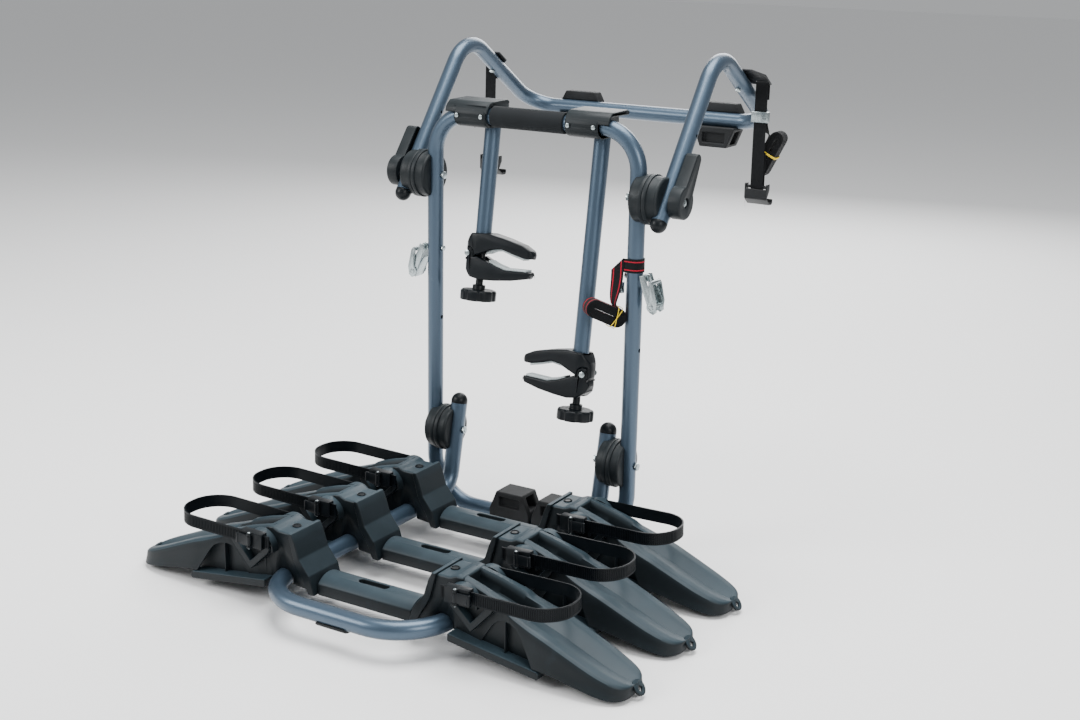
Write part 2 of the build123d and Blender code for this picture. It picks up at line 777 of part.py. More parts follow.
# Strap bolts through the uprights, each with an eye for a ratchet on its outer end
strap_head_w = 10
strap_head_h = 4
eye_reach = 23
eye_d = 14
eye_half = 4
ratchet_pin_d = 6
cam_width = 20
cam_depth = 8
cam_height = 20
cam_bore = 5
cam_share = 0.45
cam_gap = 2.2
eye_x = upright_x + eye_reach
cam_turn = math.radians(cam_share * (roll_turn - 90))
cam_across = Vector(math.cos(cam_turn), math.sin(cam_turn), 0)
cam_out = Vector(-math.sin(cam_turn), math.cos(cam_turn), 0)

with BuildPart() as strap_hardware:
    for side, s in sides:
        inner_x = s * (upright_x - tube_r - seat_gap)
        head = Plane(origin=(inner_x, frame_y, strap_bolt_z), x_dir=(0, 1, 0), z_dir=(s, 0, 0))
        hexagon(head, strap_head_w, -strap_head_h)
        rod(head, strap_bolt_d / 2, tube_r + seat_gap + eye_reach - eye_d / 4)
        eye = facing_y(s * eye_x, frame_y, strap_bolt_z)
        rod(eye, eye_d / 2, eye_half, both=True)
        rod(eye, ratchet_pin_d / 2 + running_gap, eye_half, both=True, mode=Mode.SUBTRACT)
    # small cam buckle against the lower strap's tail
    cam_off = webbing_thickness / 2 + cam_gap + cam_depth / 2
    cam_centre = tail_top + (tail_end - tail_top) * cam_share + cam_out * cam_off
    cam = Plane(origin=cam_centre, x_dir=cam_out, z_dir=cam_across)
    brick(cam, cam_depth, cam_height, cam_width / 2, both=True)
    rod(cam, cam_bore / 2, cam_width / 2, both=True, mode=Mode.SUBTRACT)
write(strap_hardware, "strap_hardware")

# Ratchets: they hang from the eyes, u running down the body and w away from the upright
ratchet_lean = 22
ratchet_half = 13
ratchet_plate = 2
ratchet_spool_at = 52
ratchet_spool_d = 10
ratchet_axle_d = 8
ratchet_reach = 66
handle_plate = 2
handle_grip_d = 8
handle_grip_at = (12, 13)
handle_eye_d = 18
web_from = 20
web_to = 62
web_level = -8
plate_shares = (
    (-0.10, -0.07), (0.14, -0.10), (0.36, -0.12), (0.90, -0.12), (1.0, -0.03), (0.96, 0.10), (0.72, 0.15),
    (0.40, 0.13), (0.20, 0.08), (-0.08, 0.09),
)
handle_shares = (
    (0.88, -0.10), (0.92, 0.08), (0.73, 0.19), (0.22, 0.27), (0.12, 0.22), (0.14, 0.14), (0.66, 0.0),
    (0.76, -0.10),
)


def ratchet_plane(s):
    lean = math.radians(ratchet_lean)
    origin = (s * eye_x, frame_y, strap_bolt_z)
    return Plane(origin=origin, x_dir=(s * math.sin(lean), 0, -math.cos(lean)), z_dir=(0, -s, 0))


def moved(plane, u, v, w=0):
    """The same plane, with its origin at a place given in its own axes."""
    return Plane(origin=plane.from_local_coords(Vector(u, v, w)), x_dir=plane.x_dir, z_dir=plane.z_dir)


for side, s in sides:
    ratchet_face = ratchet_plane(s)
    outer_half = ratchet_half + ratchet_plate
    handle_inner = outer_half + body_gap
    handle_outer = handle_inner + handle_plate
    with BuildPart() as ratchet:
        for way in (-1, 1):
            flank = moved(ratchet_face, 0, 0, way * ratchet_half)
            slab(flank, scaled(plate_shares, ratchet_reach), way * ratchet_plate)
        rod(ratchet_face, ratchet_pin_d / 2, outer_half, both=True)
        spool = moved(ratchet_face, ratchet_spool_at, 0)
        rod(spool, ratchet_spool_d / 2, outer_half, both=True)
        rod(spool, ratchet_axle_d / 2, handle_outer + body_gap, both=True)
        web = (
            (web_from, web_level),
            (web_to, web_level),
            (web_to, web_level + ratchet_plate),
            (web_from, web_level + ratchet_plate),
        )
        slab(ratchet_face, web, ratchet_half, both=True)
    write(ratchet, f"ratchet_{side}")

    with BuildPart() as ratchet_handle:
        for way in (-1, 1):
            flank = moved(ratchet_face, 0, 0, way * handle_inner)
            slab(flank, scaled(handle_shares, ratchet_reach), way * handle_plate)
            rod(moved(flank, ratchet_spool_at, 0), handle_eye_d / 2, way * handle_plate)
        grip = moved(ratchet_face, *handle_grip_at)
        rod(grip, handle_grip_d / 2, handle_outer, both=True)
        bore = moved(ratchet_face, ratchet_spool_at, 0)
        rod(bore, ratchet_axle_d / 2 + running_gap, handle_outer, both=True, mode=Mode.SUBTRACT)
    write(ratchet_handle, f"ratchet_handle_{side}")

# Strap brackets on the hoop's falling run: a plate with a slot that the webbing loops through
bracket_thickness = 3
bracket_front = 18
bar_at = 34
bar_half = 2.5
strap_offset = 30
bracket_margin = 3
loop_return = 30
hook_return = 65
strap_length = 194
webbing_slot = webbing_width + 2 * (2 * body_gap)
loop_r = math.hypot(bar_half, bracket_thickness / 2) + body_gap + webbing_thickness / 2
slot_length = loop_r + webbing_thickness + bracket_thickness / 2
bracket_tip = bar_at + bar_half


def bracket_plane(s):
    """Top of the hoop tube at the strap bolt: x across the rack, y down the falling run."""
    return Plane(origin=strap_mount(s) + hoop_over * (tube_r + seat_gap), x_dir=(1, 0, 0), z_dir=hoop_over)


def strap_top(s):
    """Middle of the bar that the webbing hangs from."""
    return bracket_plane(s).from_local_coords(Vector(s * strap_offset, bar_at, bracket_thickness / 2))


with BuildPart() as strap_brackets:
    for side, s in sides:
        top_face = bracket_plane(s)
        outer_x = s * (strap_offset + webbing_slot / 2 + bracket_margin)
        inner_x = -s * tube_r
        plate = (
            (inner_x, -bracket_front),
            (outer_x / 2, -bracket_front),
            (outer_x, 0),
            (outer_x, bracket_tip),
            (s * tube_r / 2, bracket_tip),
            (inner_x, tube_r),
        )
        slab(top_face, plate, bracket_thickness)
        slot_middle = moved(top_face, s * strap_offset, bar_at - bar_half - slot_length / 2)
        brick(slot_middle, webbing_slot, slot_length, bracket_thickness, mode=Mode.SUBTRACT)
        rod(top_face, strap_hole_d / 2, bracket_thickness, mode=Mode.SUBTRACT)
write(strap_brackets, "strap_brackets")

# Upper strap hardware: the bracket bolts and the cam buckle on the right strap
buckle_drop = 62
buckle_width = 33
buckle_depth = 12
buckle_height = 20

with BuildPart() as upper_strap_hardware:
    for side, s in sides:
        top_face = moved(bracket_plane(s), 0, 0, bracket_thickness)
        hexagon(top_face, strap_head_w, strap_head_h)
        grip = bracket_thickness + tube_d + 2 * seat_gap
        rod(top_face, strap_bolt_d / 2, -grip - strap_head_h)
        hexagon(moved(top_face, 0, 0, -grip), strap_head_w, -strap_head_h)
    strap_front = strap_top(1) - Vector(0, loop_r, buckle_drop)
    buckle = Plane(origin=strap_front, x_dir=(1, 0, 0), z_dir=(0, 0, 1))
    brick(buckle, buckle_width, buckle_depth, buckle_height / 2, both=True)
    slot_depth = webbing_thickness + 2 * soft_gap
    brick(buckle, webbing_width + 2 * soft_gap, slot_depth, buckle_height, both=True, mode=Mode.SUBTRACT)
write(upper_strap_hardware, "upper_strap_hardware")

# Upper straps: webbing looped over the bracket's bar and round the hook's pin
bundle_loops = 3
bundle_straight = 62
bundle_lean = 63.4
bundle_x = 314
bundle_back = 20
bundle_drop = 132
bundle_tail_at = 20
bundle_r = roll_inner_r + bundle_loops * roll_pitch
lean_angle = math.radians(bundle_lean)
bundle_along = Vector(math.cos(lean_angle), 0, math.sin(lean_angle))
bundle_out = Vector(-math.sin(lean_angle), 0, math.cos(lean_angle))

for side, s in sides:
    with BuildPart() as upper_strap:
        top = strap_top(s)
        with BuildSketch(facing_x(top.X, top.Y, top.Z)) as loop_face:
            with BuildLine():
                Line((loop_r, -loop_return), (loop_r, 0))
                ThreePointArc((loop_r, 0), (0, loop_r), (-loop_r, 0))
                Line((-loop_r, 0), (-loop_r, -strap_length))
                bottom_point = (0, -strap_length - loop_r)
                ThreePointArc((-loop_r, -strap_length), bottom_point, (loop_r, -strap_length))
                Line((loop_r, -strap_length), (loop_r, hook_return - strap_length))
                offset(amount=webbing_thickness / 2, side=Side.BOTH)
            make_face()
        extrude(loop_face.sketch, amount=webbing_width / 2, both=True)
        if s > 0:
            tail_y = top.Y - loop_r + buckle_depth / 2 + soft_gap + webbing_thickness / 2
            tail_start = Plane(origin=(top.X, tail_y, top.Z - buckle_drop), z_dir=(0, 0, 1))
            bundle_centre = Vector(bundle_x, top.Y + bundle_back, top.Z - bundle_drop)
            tail_end = bundle_centre + bundle_along * bundle_tail_at + bundle_out * (bundle_r - roll_pitch)
            add_tail(tail_start, Plane(origin=tail_end, x_dir=(0, 1, 0), z_dir=(0, 0, 1)))
            bundle = Plane(origin=bundle_centre, x_dir=bundle_along, z_dir=(0, -1, 0))
            add_roll("upper strap", bundle, bundle_straight, bundle_loops)
    write(upper_strap, f"upper_strap_{side}")

with BuildPart() as upper_band:
    band_centre = bundle_centre - bundle_out * (roll_pitch / 2)
    band_face = Plane(origin=band_centre, x_dir=(0, 1, 0), z_dir=bundle_along)
    add_band(band_face, roll_height(bundle_loops))
write(upper_band, "upper_band")

# Hooks for the boot's edge: a pin between two ears and a plate curled towards the car
hook_pin_d = 6
hook_width = 46
hook_plate = 2.5
hook_ear_top = 6
hook_depth_shares = ((-0.16, -0.13), (-0.16, -0.58), (0.26, -0.89), (0.58, -0.89), (0.58, -0.68))
hook_bend_r = 4
hook_size = 38

for side, s in sides:
    pin_centre = strap_top(s) - Vector(0, 0, strap_length)
    hook_face = facing_x(pin_centre.X, pin_centre.Y, pin_centre.Z)
    curl = scaled(hook_depth_shares, hook_size)
    back_y = curl[0][0]
    ear = (
        (back_y - hook_plate / 2, curl[1][1]),
        (back_y - hook_plate / 2, hook_ear_top),
        (-back_y, hook_ear_top),
        (-back_y, back_y),
        (back_y + hook_plate / 2, curl[1][1]),
    )
    with BuildPart() as strap_hook:
        with BuildSketch(hook_face) as curl_face:
            with BuildLine():
                FilletPolyline(*curl, radius=hook_bend_r)
                offset(amount=hook_plate / 2, side=Side.BOTH)
            make_face()
        extrude(curl_face.sketch, amount=hook_width / 2, both=True)
        for way in (-1, 1):
            slab(moved(hook_face, 0, 0, way * hook_width / 2), ear, -way * hook_plate)
        rod(hook_face, hook_pin_d / 2, hook_width / 2, both=True)
    write(strap_hook, f"strap_hook_{side}")

# Front foot: a rubber strip clipped under the platform's front bar
foot_left = -22
foot_right = 35
foot_wall = 4
foot_angle = 100

with BuildPart() as front_foot:
    with BuildSketch(facing_x(foot_left, frame_y - platform_reach, rail_z)):
        with BuildLine():
            CenterArc((0, 0), platform_r + seat_gap + foot_wall / 2, -90 - foot_angle / 2, foot_angle)
            offset(amount=foot_wall / 2, side=Side.BOTH)
        make_face()
    extrude(amount=foot_right - foot_left)
write(front_foot, "front_foot")

# Wheel trays, near to far: a beam between two cradles that sit over the platform's rails
tray_half = 508
beam_width = 60
beam_bottom = 32
beam_side = 52
beam_top = 66
beam_slot_length = 60
beam_slot_width = 14
beam_slot_depth = 10
cradle_half = 35
rib_half = 40
rail_gap = 0.3
rail_slack = 5
wing_half = 59
wing_crest = 136
wing_wall = 3
crest_in = 12
strip_inner = 34
strip_outer = 51
frame_inner = 34
tab_half = 4
tab_r = 10
tab_hole = 8
tab_x = 494
cap_x = 162
cap_r = 8
cap_h = 2
strap_x = 208
strap_z = 119
boss_inner = 31
boss_width = 30
boss_height = 20
boss_drop = 5

cradle_top_share = 0.260
rib_foot_share = 0.189
core_shares = (
    (0.197, 0.071), (0.366, 0.087), (0.394, 0.098), (0.394, 0.268), (0.366, 0.270),
    (0.343, cradle_top_share), (0.295, cradle_top_share), (0.274, 0.232), (0.256, 0.173), (0.220, 0.126),
)
rib_shares = (
    (rib_foot_share, 0.065), (0.209, 0.130), (0.250, 0.181), (0.268, 0.236), (0.281, 0.264), (0.295, 0.264),
    (0.295, 0.252), (0.289, 0.232), (0.272, 0.169), (0.238, 0.114), (0.215, 0.065),
)
strip_shares = (
    (0.366, 0.069), (0.690, 0.0244), (0.697, 0.031), (0.697, 0.044), (0.690, 0.052), (0.366, 0.0965),
)
brace_shares = (
    (0.354, 0.203), (0.366, 0.183), (0.441, 0.112), (0.516, 0.193), (0.524, 0.209), (0.504, 0.213),
    (0.441, 0.142), (0.374, 0.205),
)
# along the tray, half width, crest, depth of the wheel groove and bottom edge, in shares
wing_shares = (
    (0.374, 0.610, 1.000, 0.132, 0.309),
    (0.472, 0.678, 0.904, 0.162, 0.265),
    (0.591, 0.949, 0.735, 0.103, 0.221),
    (0.709, 1.000, 0.581, 0.059, 0.206),
    (0.827, 0.915, 0.390, 0.051, 0.125),
    (0.915, 0.712, 0.250, 0.037, 0.059),
    (0.969, 0.441, 0.162, 0.022, 0.037),
    (1.000, 0.170, 0.103, 0.007, 0.059),
)
beam_half = rib_foot_share * tray_half
cap_z = cradle_top_share * tray_half


def tray_y(index):
    return frame_y - tray_far_reach - tray_pitch * (len(tray_names) - 1 - index)


def outwards(s, shares):
    """Outline in the X and Z of a tray, mirrored for its left end."""
    return [(s * x, z) for x, z in scaled(shares, tray_half)]


def wing_section(half_share, crest_share, groove_share, bottom_share):
    """Section of the hollow wing: two crests with a wheel groove between them, open below."""
    half = half_share * wing_half
    crest = crest_share * wing_crest
    groove = crest - groove_share * wing_crest
    bottom = bottom_share * wing_crest
    inset = crest_in * half_share
    skin = wing_wall * half_share ** 0.5
    return (
        (-half, bottom),
        (-half + inset, crest),
        (0, groove),
        (half - inset, crest),
        (half, bottom),
        (half - skin, bottom),
        (half - inset - skin, crest - skin),
        (0, groove - skin),
        (-half + inset + skin, crest - skin),
        (-half + skin, bottom),
    )


for index, name in enumerate(tray_names):
    middle_y = tray_y(index)
    with BuildPart() as tray_beam:
        with BuildSketch(facing_x(-beam_half, middle_y, 0)):
            with BuildLine():
                Polyline(
                    (beam_width / 2, beam_side),
                    (beam_width / 2, beam_bottom),
                    (-beam_width / 2, beam_bottom),
                    (-beam_width / 2, beam_side),
                )
                ThreePointArc((-beam_width / 2, beam_side), (0, beam_top), (beam_width / 2, beam_side))
            make_face()
        extrude(amount=2 * beam_half)
        with BuildSketch(Plane(origin=(0, middle_y, beam_top))):
            SlotOverall(beam_slot_length, beam_slot_width)
        extrude(amount=-beam_slot_depth, mode=Mode.SUBTRACT)
    write(tray_beam, f"tray_beam_{name}")

    with BuildPart() as tray_cradles:
        for side, s in sides:
            upright_face = facing_y(0, middle_y, 0)
            slab(upright_face, outwards(s, core_shares), cradle_half, both=True)
            slab(upright_face, outwards(s, rib_shares), rib_half, both=True)
            sections = []
            for along, *rest in wing_shares:
                with BuildSketch(facing_x(s * along * tray_half, middle_y, 0)) as section:
                    Polygon(*wing_section(*rest), align=None)
                sections.append(section.sketch)
            loft(Sketch() + sections, ruled=True)
            for way in (-1, 1):
                flank = facing_y(0, middle_y + way * strip_inner, 0)
                slab(flank, outwards(s, strip_shares), -way * (strip_outer - strip_inner))
                slab(flank, outwards(s, brace_shares), -way * (strip_outer - frame_inner))
            # boss on the near flank that the wheel strap's buckle is screwed to
            boss_depth = strip_outer - boss_inner
            boss = facing_y(s * strap_x, middle_y - boss_inner - boss_depth / 2, strap_z - boss_drop)
            brick(boss, boss_width, boss_height, boss_depth / 2, both=True)
            tab = facing_y(s * tab_x, middle_y, tab_r)
            rod(tab, tab_r, tab_half, both=True)
            with BuildSketch(tab) as hole:
                Rectangle(tab_hole, tab_hole, rotation=45)
            extrude(hole.sketch, amount=tab_half, both=True, mode=Mode.SUBTRACT)
            # channel over the rail, a little wider on the inside for the platform's front bend
            channel_r = platform_r + rail_gap
            reach = strip_outer + cut_over
            for rail_x in (platform_x, platform_x - rail_slack):
                rod(facing_y(s * rail_x, middle_y, rail_z), channel_r, reach, both=True, mode=Mode.SUBTRACT)
            channel_x = s * (platform_x - rail_slack / 2)
            top = facing_y(channel_x, middle_y, rail_z + channel_r / 2)
            brick(top, rail_slack, channel_r, reach, both=True, mode=Mode.SUBTRACT)
            mouth = facing_y(channel_x, middle_y, rail_z / 2)
            brick(mouth, 2 * channel_r + rail_slack, rail_z, reach, both=True, mode=Mode.SUBTRACT)
    write(tray_cradles, f"tray_cradles_{name}")

with BuildPart() as screw_caps:
    for index in range(len(tray_names)):
        for side, s in sides:
            rod(Plane(origin=(s * cap_x, tray_y(index), cap_z)), cap_r, cap_h)
write(screw_caps, "screw_caps")

# Wheel straps: toothed bands that leave a buckle, round the tyre and come back to the cradle
strap_tilt = 1.5
strap_height = 22
strap_band = 2.5
strap_bend_r = 50
strap_soft_r = 20
strap_route_shares = (
    (-0.19, -0.329), (0.0, -0.333), (1.0, -0.356), (1.0, 0.244), (0.0, 0.256), (-0.167, 0.2022),
)
strap_reach = 180
housing_half = 23
housing_height = 28
housing_front = -66
housing_back = -51.2
slot_front = -62.4
slot_back = -57.6
hinge_y = -70
hinge_pin_d = 4
lug_d = 8
lug_inner = 9
lever_plate = 3
lever_out = 25
lever_barrel_d = 7.6


def strap_plane(index, s):
    """Tilted plane of a wheel strap: x outwards along the tray, y across it."""
    tilt = math.radians(strap_tilt)
    x_dir = (s * math.cos(tilt), 0, math.sin(tilt))
    z_dir = (-math.sin(tilt), 0, s * math.cos(tilt))
    return Plane(origin=(s * strap_x, tray_y(index), strap_z), x_dir=x_dir, z_dir=z_dir)


strap_places = [(index, s) for index in range(len(tray_names)) for side, s in sides]

with BuildPart() as wheel_straps:
    for index, s in strap_places:
        with BuildSketch(strap_plane(index, s)) as band:
            with BuildLine():
                FilletPolyline(
                    *scaled(strap_route_shares, strap_reach),
                    radius=[strap_soft_r, strap_bend_r, strap_bend_r, strap_soft_r],
                )
                offset(amount=strap_band / 2, side=Side.BOTH)
            make_face()
        extrude(band.sketch, amount=strap_height / 2, both=True)
write(wheel_straps, "wheel_straps")

with BuildPart() as strap_buckles:
    for index, s in strap_places:
        buckle_face = strap_plane(index, s)
        for front, back, tall, mode in (
            (housing_front, housing_back, housing_height, Mode.ADD),
            (slot_front, slot_back, strap_height + 2 * soft_gap, Mode.SUBTRACT),
        ):
            place = moved(buckle_face, 0, (front + back) / 2)
            brick(place, 2 * housing_half, back - front, tall / 2, both=True, mode=mode)
        for way in (-1, 1):
            lug = moved(buckle_face, 0, hinge_y, way * lug_inner)
            lug_tall = way * (housing_height / 2 - lug_inner)
            rod(lug, lug_d / 2, lug_tall)
            bridge = moved(lug, 0, (housing_front - hinge_y) / 2)
            brick(bridge, lug_d, housing_front - hinge_y, lug_tall)
        rod(moved(buckle_face, 0, hinge_y), hinge_pin_d / 2, housing_height / 2, both=True)
write(strap_buckles, "strap_buckles")

for index, s in strap_places:
    buckle_face = moved(strap_plane(index, s), 0, hinge_y)
    lever_half = lug_inner - body_gap
    with BuildPart() as buckle_lever:
        rod(buckle_face, lever_barrel_d / 2, lever_half, both=True)
        blade = moved(buckle_face, lever_out / 2, 0)
        brick(blade, lever_out, lever_plate, lever_half, both=True)
        rod(moved(buckle_face, lever_out, 0), lever_plate, lever_half, both=True)
        rod(buckle_face, hinge_pin_d / 2 + running_gap, lever_half, both=True, mode=Mode.SUBTRACT)
    side = "left" if s < 0 else "right"
    write(buckle_lever, f"buckle_lever_{tray_names[index]}_{side}")
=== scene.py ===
import json
import math

import bpy
from mathutils import Matrix, Vector

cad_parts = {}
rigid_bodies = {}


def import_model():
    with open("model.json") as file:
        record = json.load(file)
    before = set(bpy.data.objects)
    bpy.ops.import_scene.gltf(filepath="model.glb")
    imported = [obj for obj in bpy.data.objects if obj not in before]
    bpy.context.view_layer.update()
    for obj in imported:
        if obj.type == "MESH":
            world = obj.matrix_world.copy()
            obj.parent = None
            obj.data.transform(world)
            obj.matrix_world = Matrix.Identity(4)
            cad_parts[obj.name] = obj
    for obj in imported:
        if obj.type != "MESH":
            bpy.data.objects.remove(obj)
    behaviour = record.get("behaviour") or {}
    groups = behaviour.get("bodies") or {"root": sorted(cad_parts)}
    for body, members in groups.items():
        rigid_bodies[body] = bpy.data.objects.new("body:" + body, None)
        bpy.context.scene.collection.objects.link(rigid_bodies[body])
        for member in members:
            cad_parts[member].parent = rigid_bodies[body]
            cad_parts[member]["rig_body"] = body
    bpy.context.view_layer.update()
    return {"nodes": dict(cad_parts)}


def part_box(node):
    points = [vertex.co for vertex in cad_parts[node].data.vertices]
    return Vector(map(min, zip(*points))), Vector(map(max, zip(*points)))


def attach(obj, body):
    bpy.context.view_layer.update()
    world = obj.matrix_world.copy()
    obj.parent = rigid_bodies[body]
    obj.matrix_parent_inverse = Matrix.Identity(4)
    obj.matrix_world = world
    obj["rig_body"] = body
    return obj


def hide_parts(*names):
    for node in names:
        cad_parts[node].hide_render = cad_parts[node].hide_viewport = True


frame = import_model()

# Camera: it stands to the right of the rack, a little above its top, and looks down on it.
# Its place, lens, turn, tilt and roll are those fitted to the rack's long parallel tubes.
camera_place = (1.4366, -2.3165, 1.1266)
turn, tilt, roll = (math.radians(x) for x in (30.577, 15.771, 1.156))
backwards = Vector((math.sin(turn) * math.cos(tilt), -math.cos(turn) * math.cos(tilt), math.sin(tilt)))
level = Vector((math.cos(turn), math.sin(turn), 0))
above = backwards.cross(level)
rightwards = level * math.cos(roll) + above * math.sin(roll)
upwards = above * math.cos(roll) - level * math.sin(roll)
bpy.ops.object.camera_add(location=(0, 0, 0))
camera = bpy.context.object
camera.data.sensor_width = 36
camera.data.lens = 51.6
camera.matrix_world = Matrix.Translation(camera_place) @ Matrix(
    [[a, b, c, 0] for a, b, c in zip(rightwards, upwards, backwards)] + [[0, 0, 0, 1]]
)
bpy.context.scene.camera = camera

# Studio: a pale floor without edges, just under the rack's feet, and four large soft lights.
# Each light is a square panel that faces a point in the middle of the rack.
floor_size, floor_gap = 40, 0.0015
rack_middle = Vector((0, 0, 0.4))
bpy.ops.mesh.primitive_plane_add(size=floor_size, location=(0, 0, -floor_gap))
floor = bpy.context.object
floor.name = "floor"
paper = bpy.data.materials.new("studio_paper")
paper.use_nodes = True
paper_shader = paper.node_tree.nodes["Principled BSDF"]
paper_shader.inputs["Base Color"].default_value = (0.93, 0.93, 0.93, 1)
paper_shader.inputs["Roughness"].default_value = 0.9
floor.data.materials.append(paper)
for place, width, watts in (
    ((-2.6, -2.8, 2.4), 1.8, 130),
    ((2.9, -1.6, 1.9), 1.4, 60),
    ((0.2, 0.2, 3.4), 2.4, 190),
    ((-0.8, 3.2, 2.0), 2.2, 90),
):
    aim = (Vector(place) - rack_middle).to_track_quat("Z", "Y")
    bpy.ops.object.light_add(type="AREA", location=place, rotation=aim.to_euler())
    bpy.context.object.data.size = width
    bpy.context.object.data.energy = watts
studio = bpy.data.worlds.new("studio")
bpy.context.scene.world = studio
studio.use_nodes = True
background = studio.node_tree.nodes["Background"]
background.inputs["Color"].default_value = (0.96, 0.98, 1.0, 1)
background.inputs["Strength"].default_value = 0.45


# Round steel tube: the upright loop, the hoop, the platform and the two bicycle arms.
# It is bent cold, drilled for its bolts and sprayed with a satin blue-grey metallic lacquer.
class Reading:
    """One output socket, so that sums of sockets read as plain arithmetic."""

    def __init__(self, finish, socket):
        self.finish = finish
        self.socket = socket

    def maths(self, operation, other=0.0, swapped=False):
        first, second = (other, self) if swapped else (self, other)
        return self.finish.node("ShaderNodeMath", {"operation": operation}, {0: first, 1: second})

    def __add__(self, other):
        return self.maths("ADD", other)

    def __sub__(self, other):
        return self.maths("SUBTRACT", other)

    def __rsub__(self, other):
        return self.maths("SUBTRACT", other, swapped=True)

    def __mul__(self, other):
        return self.maths("MULTIPLY", other)

    __radd__ = __add__
    __rmul__ = __mul__


class Finish:
    """A material that is built up node by node on its own shader."""

    def __init__(self, name, **plain):
        self.material = bpy.data.materials.new(name)
        self.material.use_nodes = True
        self.tree = self.material.node_tree
        self.shader = self.tree.nodes["Principled BSDF"]
        self.show(**plain)

    def feed(self, socket, value):
        if isinstance(value, Reading):
            self.tree.links.new(value.socket, socket)
        else:
            socket.default_value = value

    def node(self, kind, settings=None, sockets=None, output=0):
        """A node of this kind, set up and then fed, read at one of its outputs."""
        made = self.tree.nodes.new(kind)
        for key, value in (settings or {}).items():
            if key == "stops":
                for stop, (place, shade) in zip(made.color_ramp.elements, value):
                    stop.position = place
                    stop.color = (shade, shade, shade, 1)
            else:
                setattr(made, key, value)
        for key, value in (sockets or {}).items():
            self.feed(made.inputs[key], value)
        return Reading(self, made.outputs[output])

    def place(self):
        return self.node("ShaderNodeTexCoord", output="Object")

    def speckle(self, scale, detail=2.0, roughness=0.5):
        sockets = {"Vector": self.place(), "Scale": scale, "Detail": detail, "Roughness": roughness}
        return self.node("ShaderNodeTexNoise", {}, sockets, "Fac")

    def ramp(self, value, low, high):
        """Nothing up to low, all from high on, and a slope between them."""
        return self.node("ShaderNodeValToRGB", {"stops": ((low, 0.0), (high, 1.0))}, {"Fac": value})

    def tint(self, mask, first, second):
        sockets = {0: mask, 6: first, 7: second}
        return self.node("ShaderNodeMix", {"data_type": "RGBA"}, sockets, 2)

    def upward(self):
        """How far a face looks up, for colour that lightens the tops of faces."""
        normal = self.node("ShaderNodeNewGeometry", output="Normal")
        return self.node("ShaderNodeSeparateXYZ", {}, {0: normal}, "Z")

    def relief(self, height, strength, depth):
        return self.node("ShaderNodeBump", {}, {"Height": height, "Strength": strength, "Distance": depth})

    def show(self, **sockets):
        for socket, value in sockets.items():
            self.feed(self.shader.inputs[socket.replace("_", " ")], value)


lacquer = Finish("satin_blue_lacquer", Metallic=0.7, Coat_Roughness=0.22)
flakes = lacquer.speckle(2600, 1)
cloud = lacquer.speckle(9, 3)
scuff = lacquer.ramp(lacquer.speckle(46, 6, roughness=0.75), 0.60, 0.74)
blue = lacquer.tint(flakes, (0.035, 0.058, 0.088, 1), (0.073, 0.112, 0.160, 1))
blue = lacquer.tint(cloud * 0.35, blue, (0.060, 0.098, 0.142, 1))
blue = lacquer.tint(scuff * 0.14, blue, (0.19, 0.24, 0.30, 1))
peel = lacquer.speckle(700, 2)
lacquer.show(
    Base_Color=blue,
    Roughness=0.36 + cloud * 0.08 + scuff * 0.10,
    Coat_Weight=0.35 - scuff * 0.2,
    Normal=lacquer.relief(peel + flakes * 0.4, 0.12, 0.0002),
)


def placed(name, data):
    """A new piece with this mesh or curve, put into the scene."""
    piece = bpy.data.objects.new(name, data)
    bpy.context.scene.collection.objects.link(piece)
    return piece


def only(piece):
    """Select one piece and nothing else."""
    bpy.ops.object.select_all(action="DESELECT")
    bpy.context.view_layer.objects.active = piece
    piece.select_set(True)


def reworked(piece, *steps):
    """Take a piece through steps in edit mode, each of them on the whole mesh."""
    only(piece)
    bpy.ops.object.mode_set(mode="EDIT")
    for step in steps:
        bpy.ops.mesh.select_all(action="SELECT")
        step()
    bpy.ops.object.mode_set(mode="OBJECT")


def ease(piece, edge, segments=2, bend=35):
    """Round the sharp edges of a piece and shade it smooth between them."""
    only(piece)
    if edge:
        bevel = piece.modifiers.new("edge", "BEVEL")
        bevel.width = edge
        bevel.segments = segments
        bevel.limit_method = "ANGLE"
        bevel.angle_limit = math.radians(bend)
        bevel.use_clamp_overlap = False
        bpy.ops.object.modifier_apply(modifier=bevel.name)
    bpy.ops.object.shade_smooth_by_angle(angle=math.radians(bend))
    return piece


def finished(node, material, edge=0.0, segments=2):
    """A CAD piece with its loose faces merged and its edges eased, which stands for the node."""
    same_point, same_plane = 0.000002, math.radians(0.6)
    source = frame["nodes"][node]
    piece = placed(node + "_finished", source.data.copy())
    only(piece)
    bpy.ops.mesh.customdata_custom_splitnormals_clear()
    reworked(
        piece,
        lambda: bpy.ops.mesh.remove_doubles(threshold=same_point),
        lambda: bpy.ops.mesh.dissolve_limited(angle_limit=same_plane),
    )
    ease(piece, edge, segments)
    piece.data.materials.clear()
    piece.data.materials.append(material)
    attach(piece, source["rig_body"])
    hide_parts(node)
    return piece


for node in ("upright_frame", "hoop", "platform_frame", "bike_arm_left", "bike_arm_right"):
    finished(node, lacquer.material)

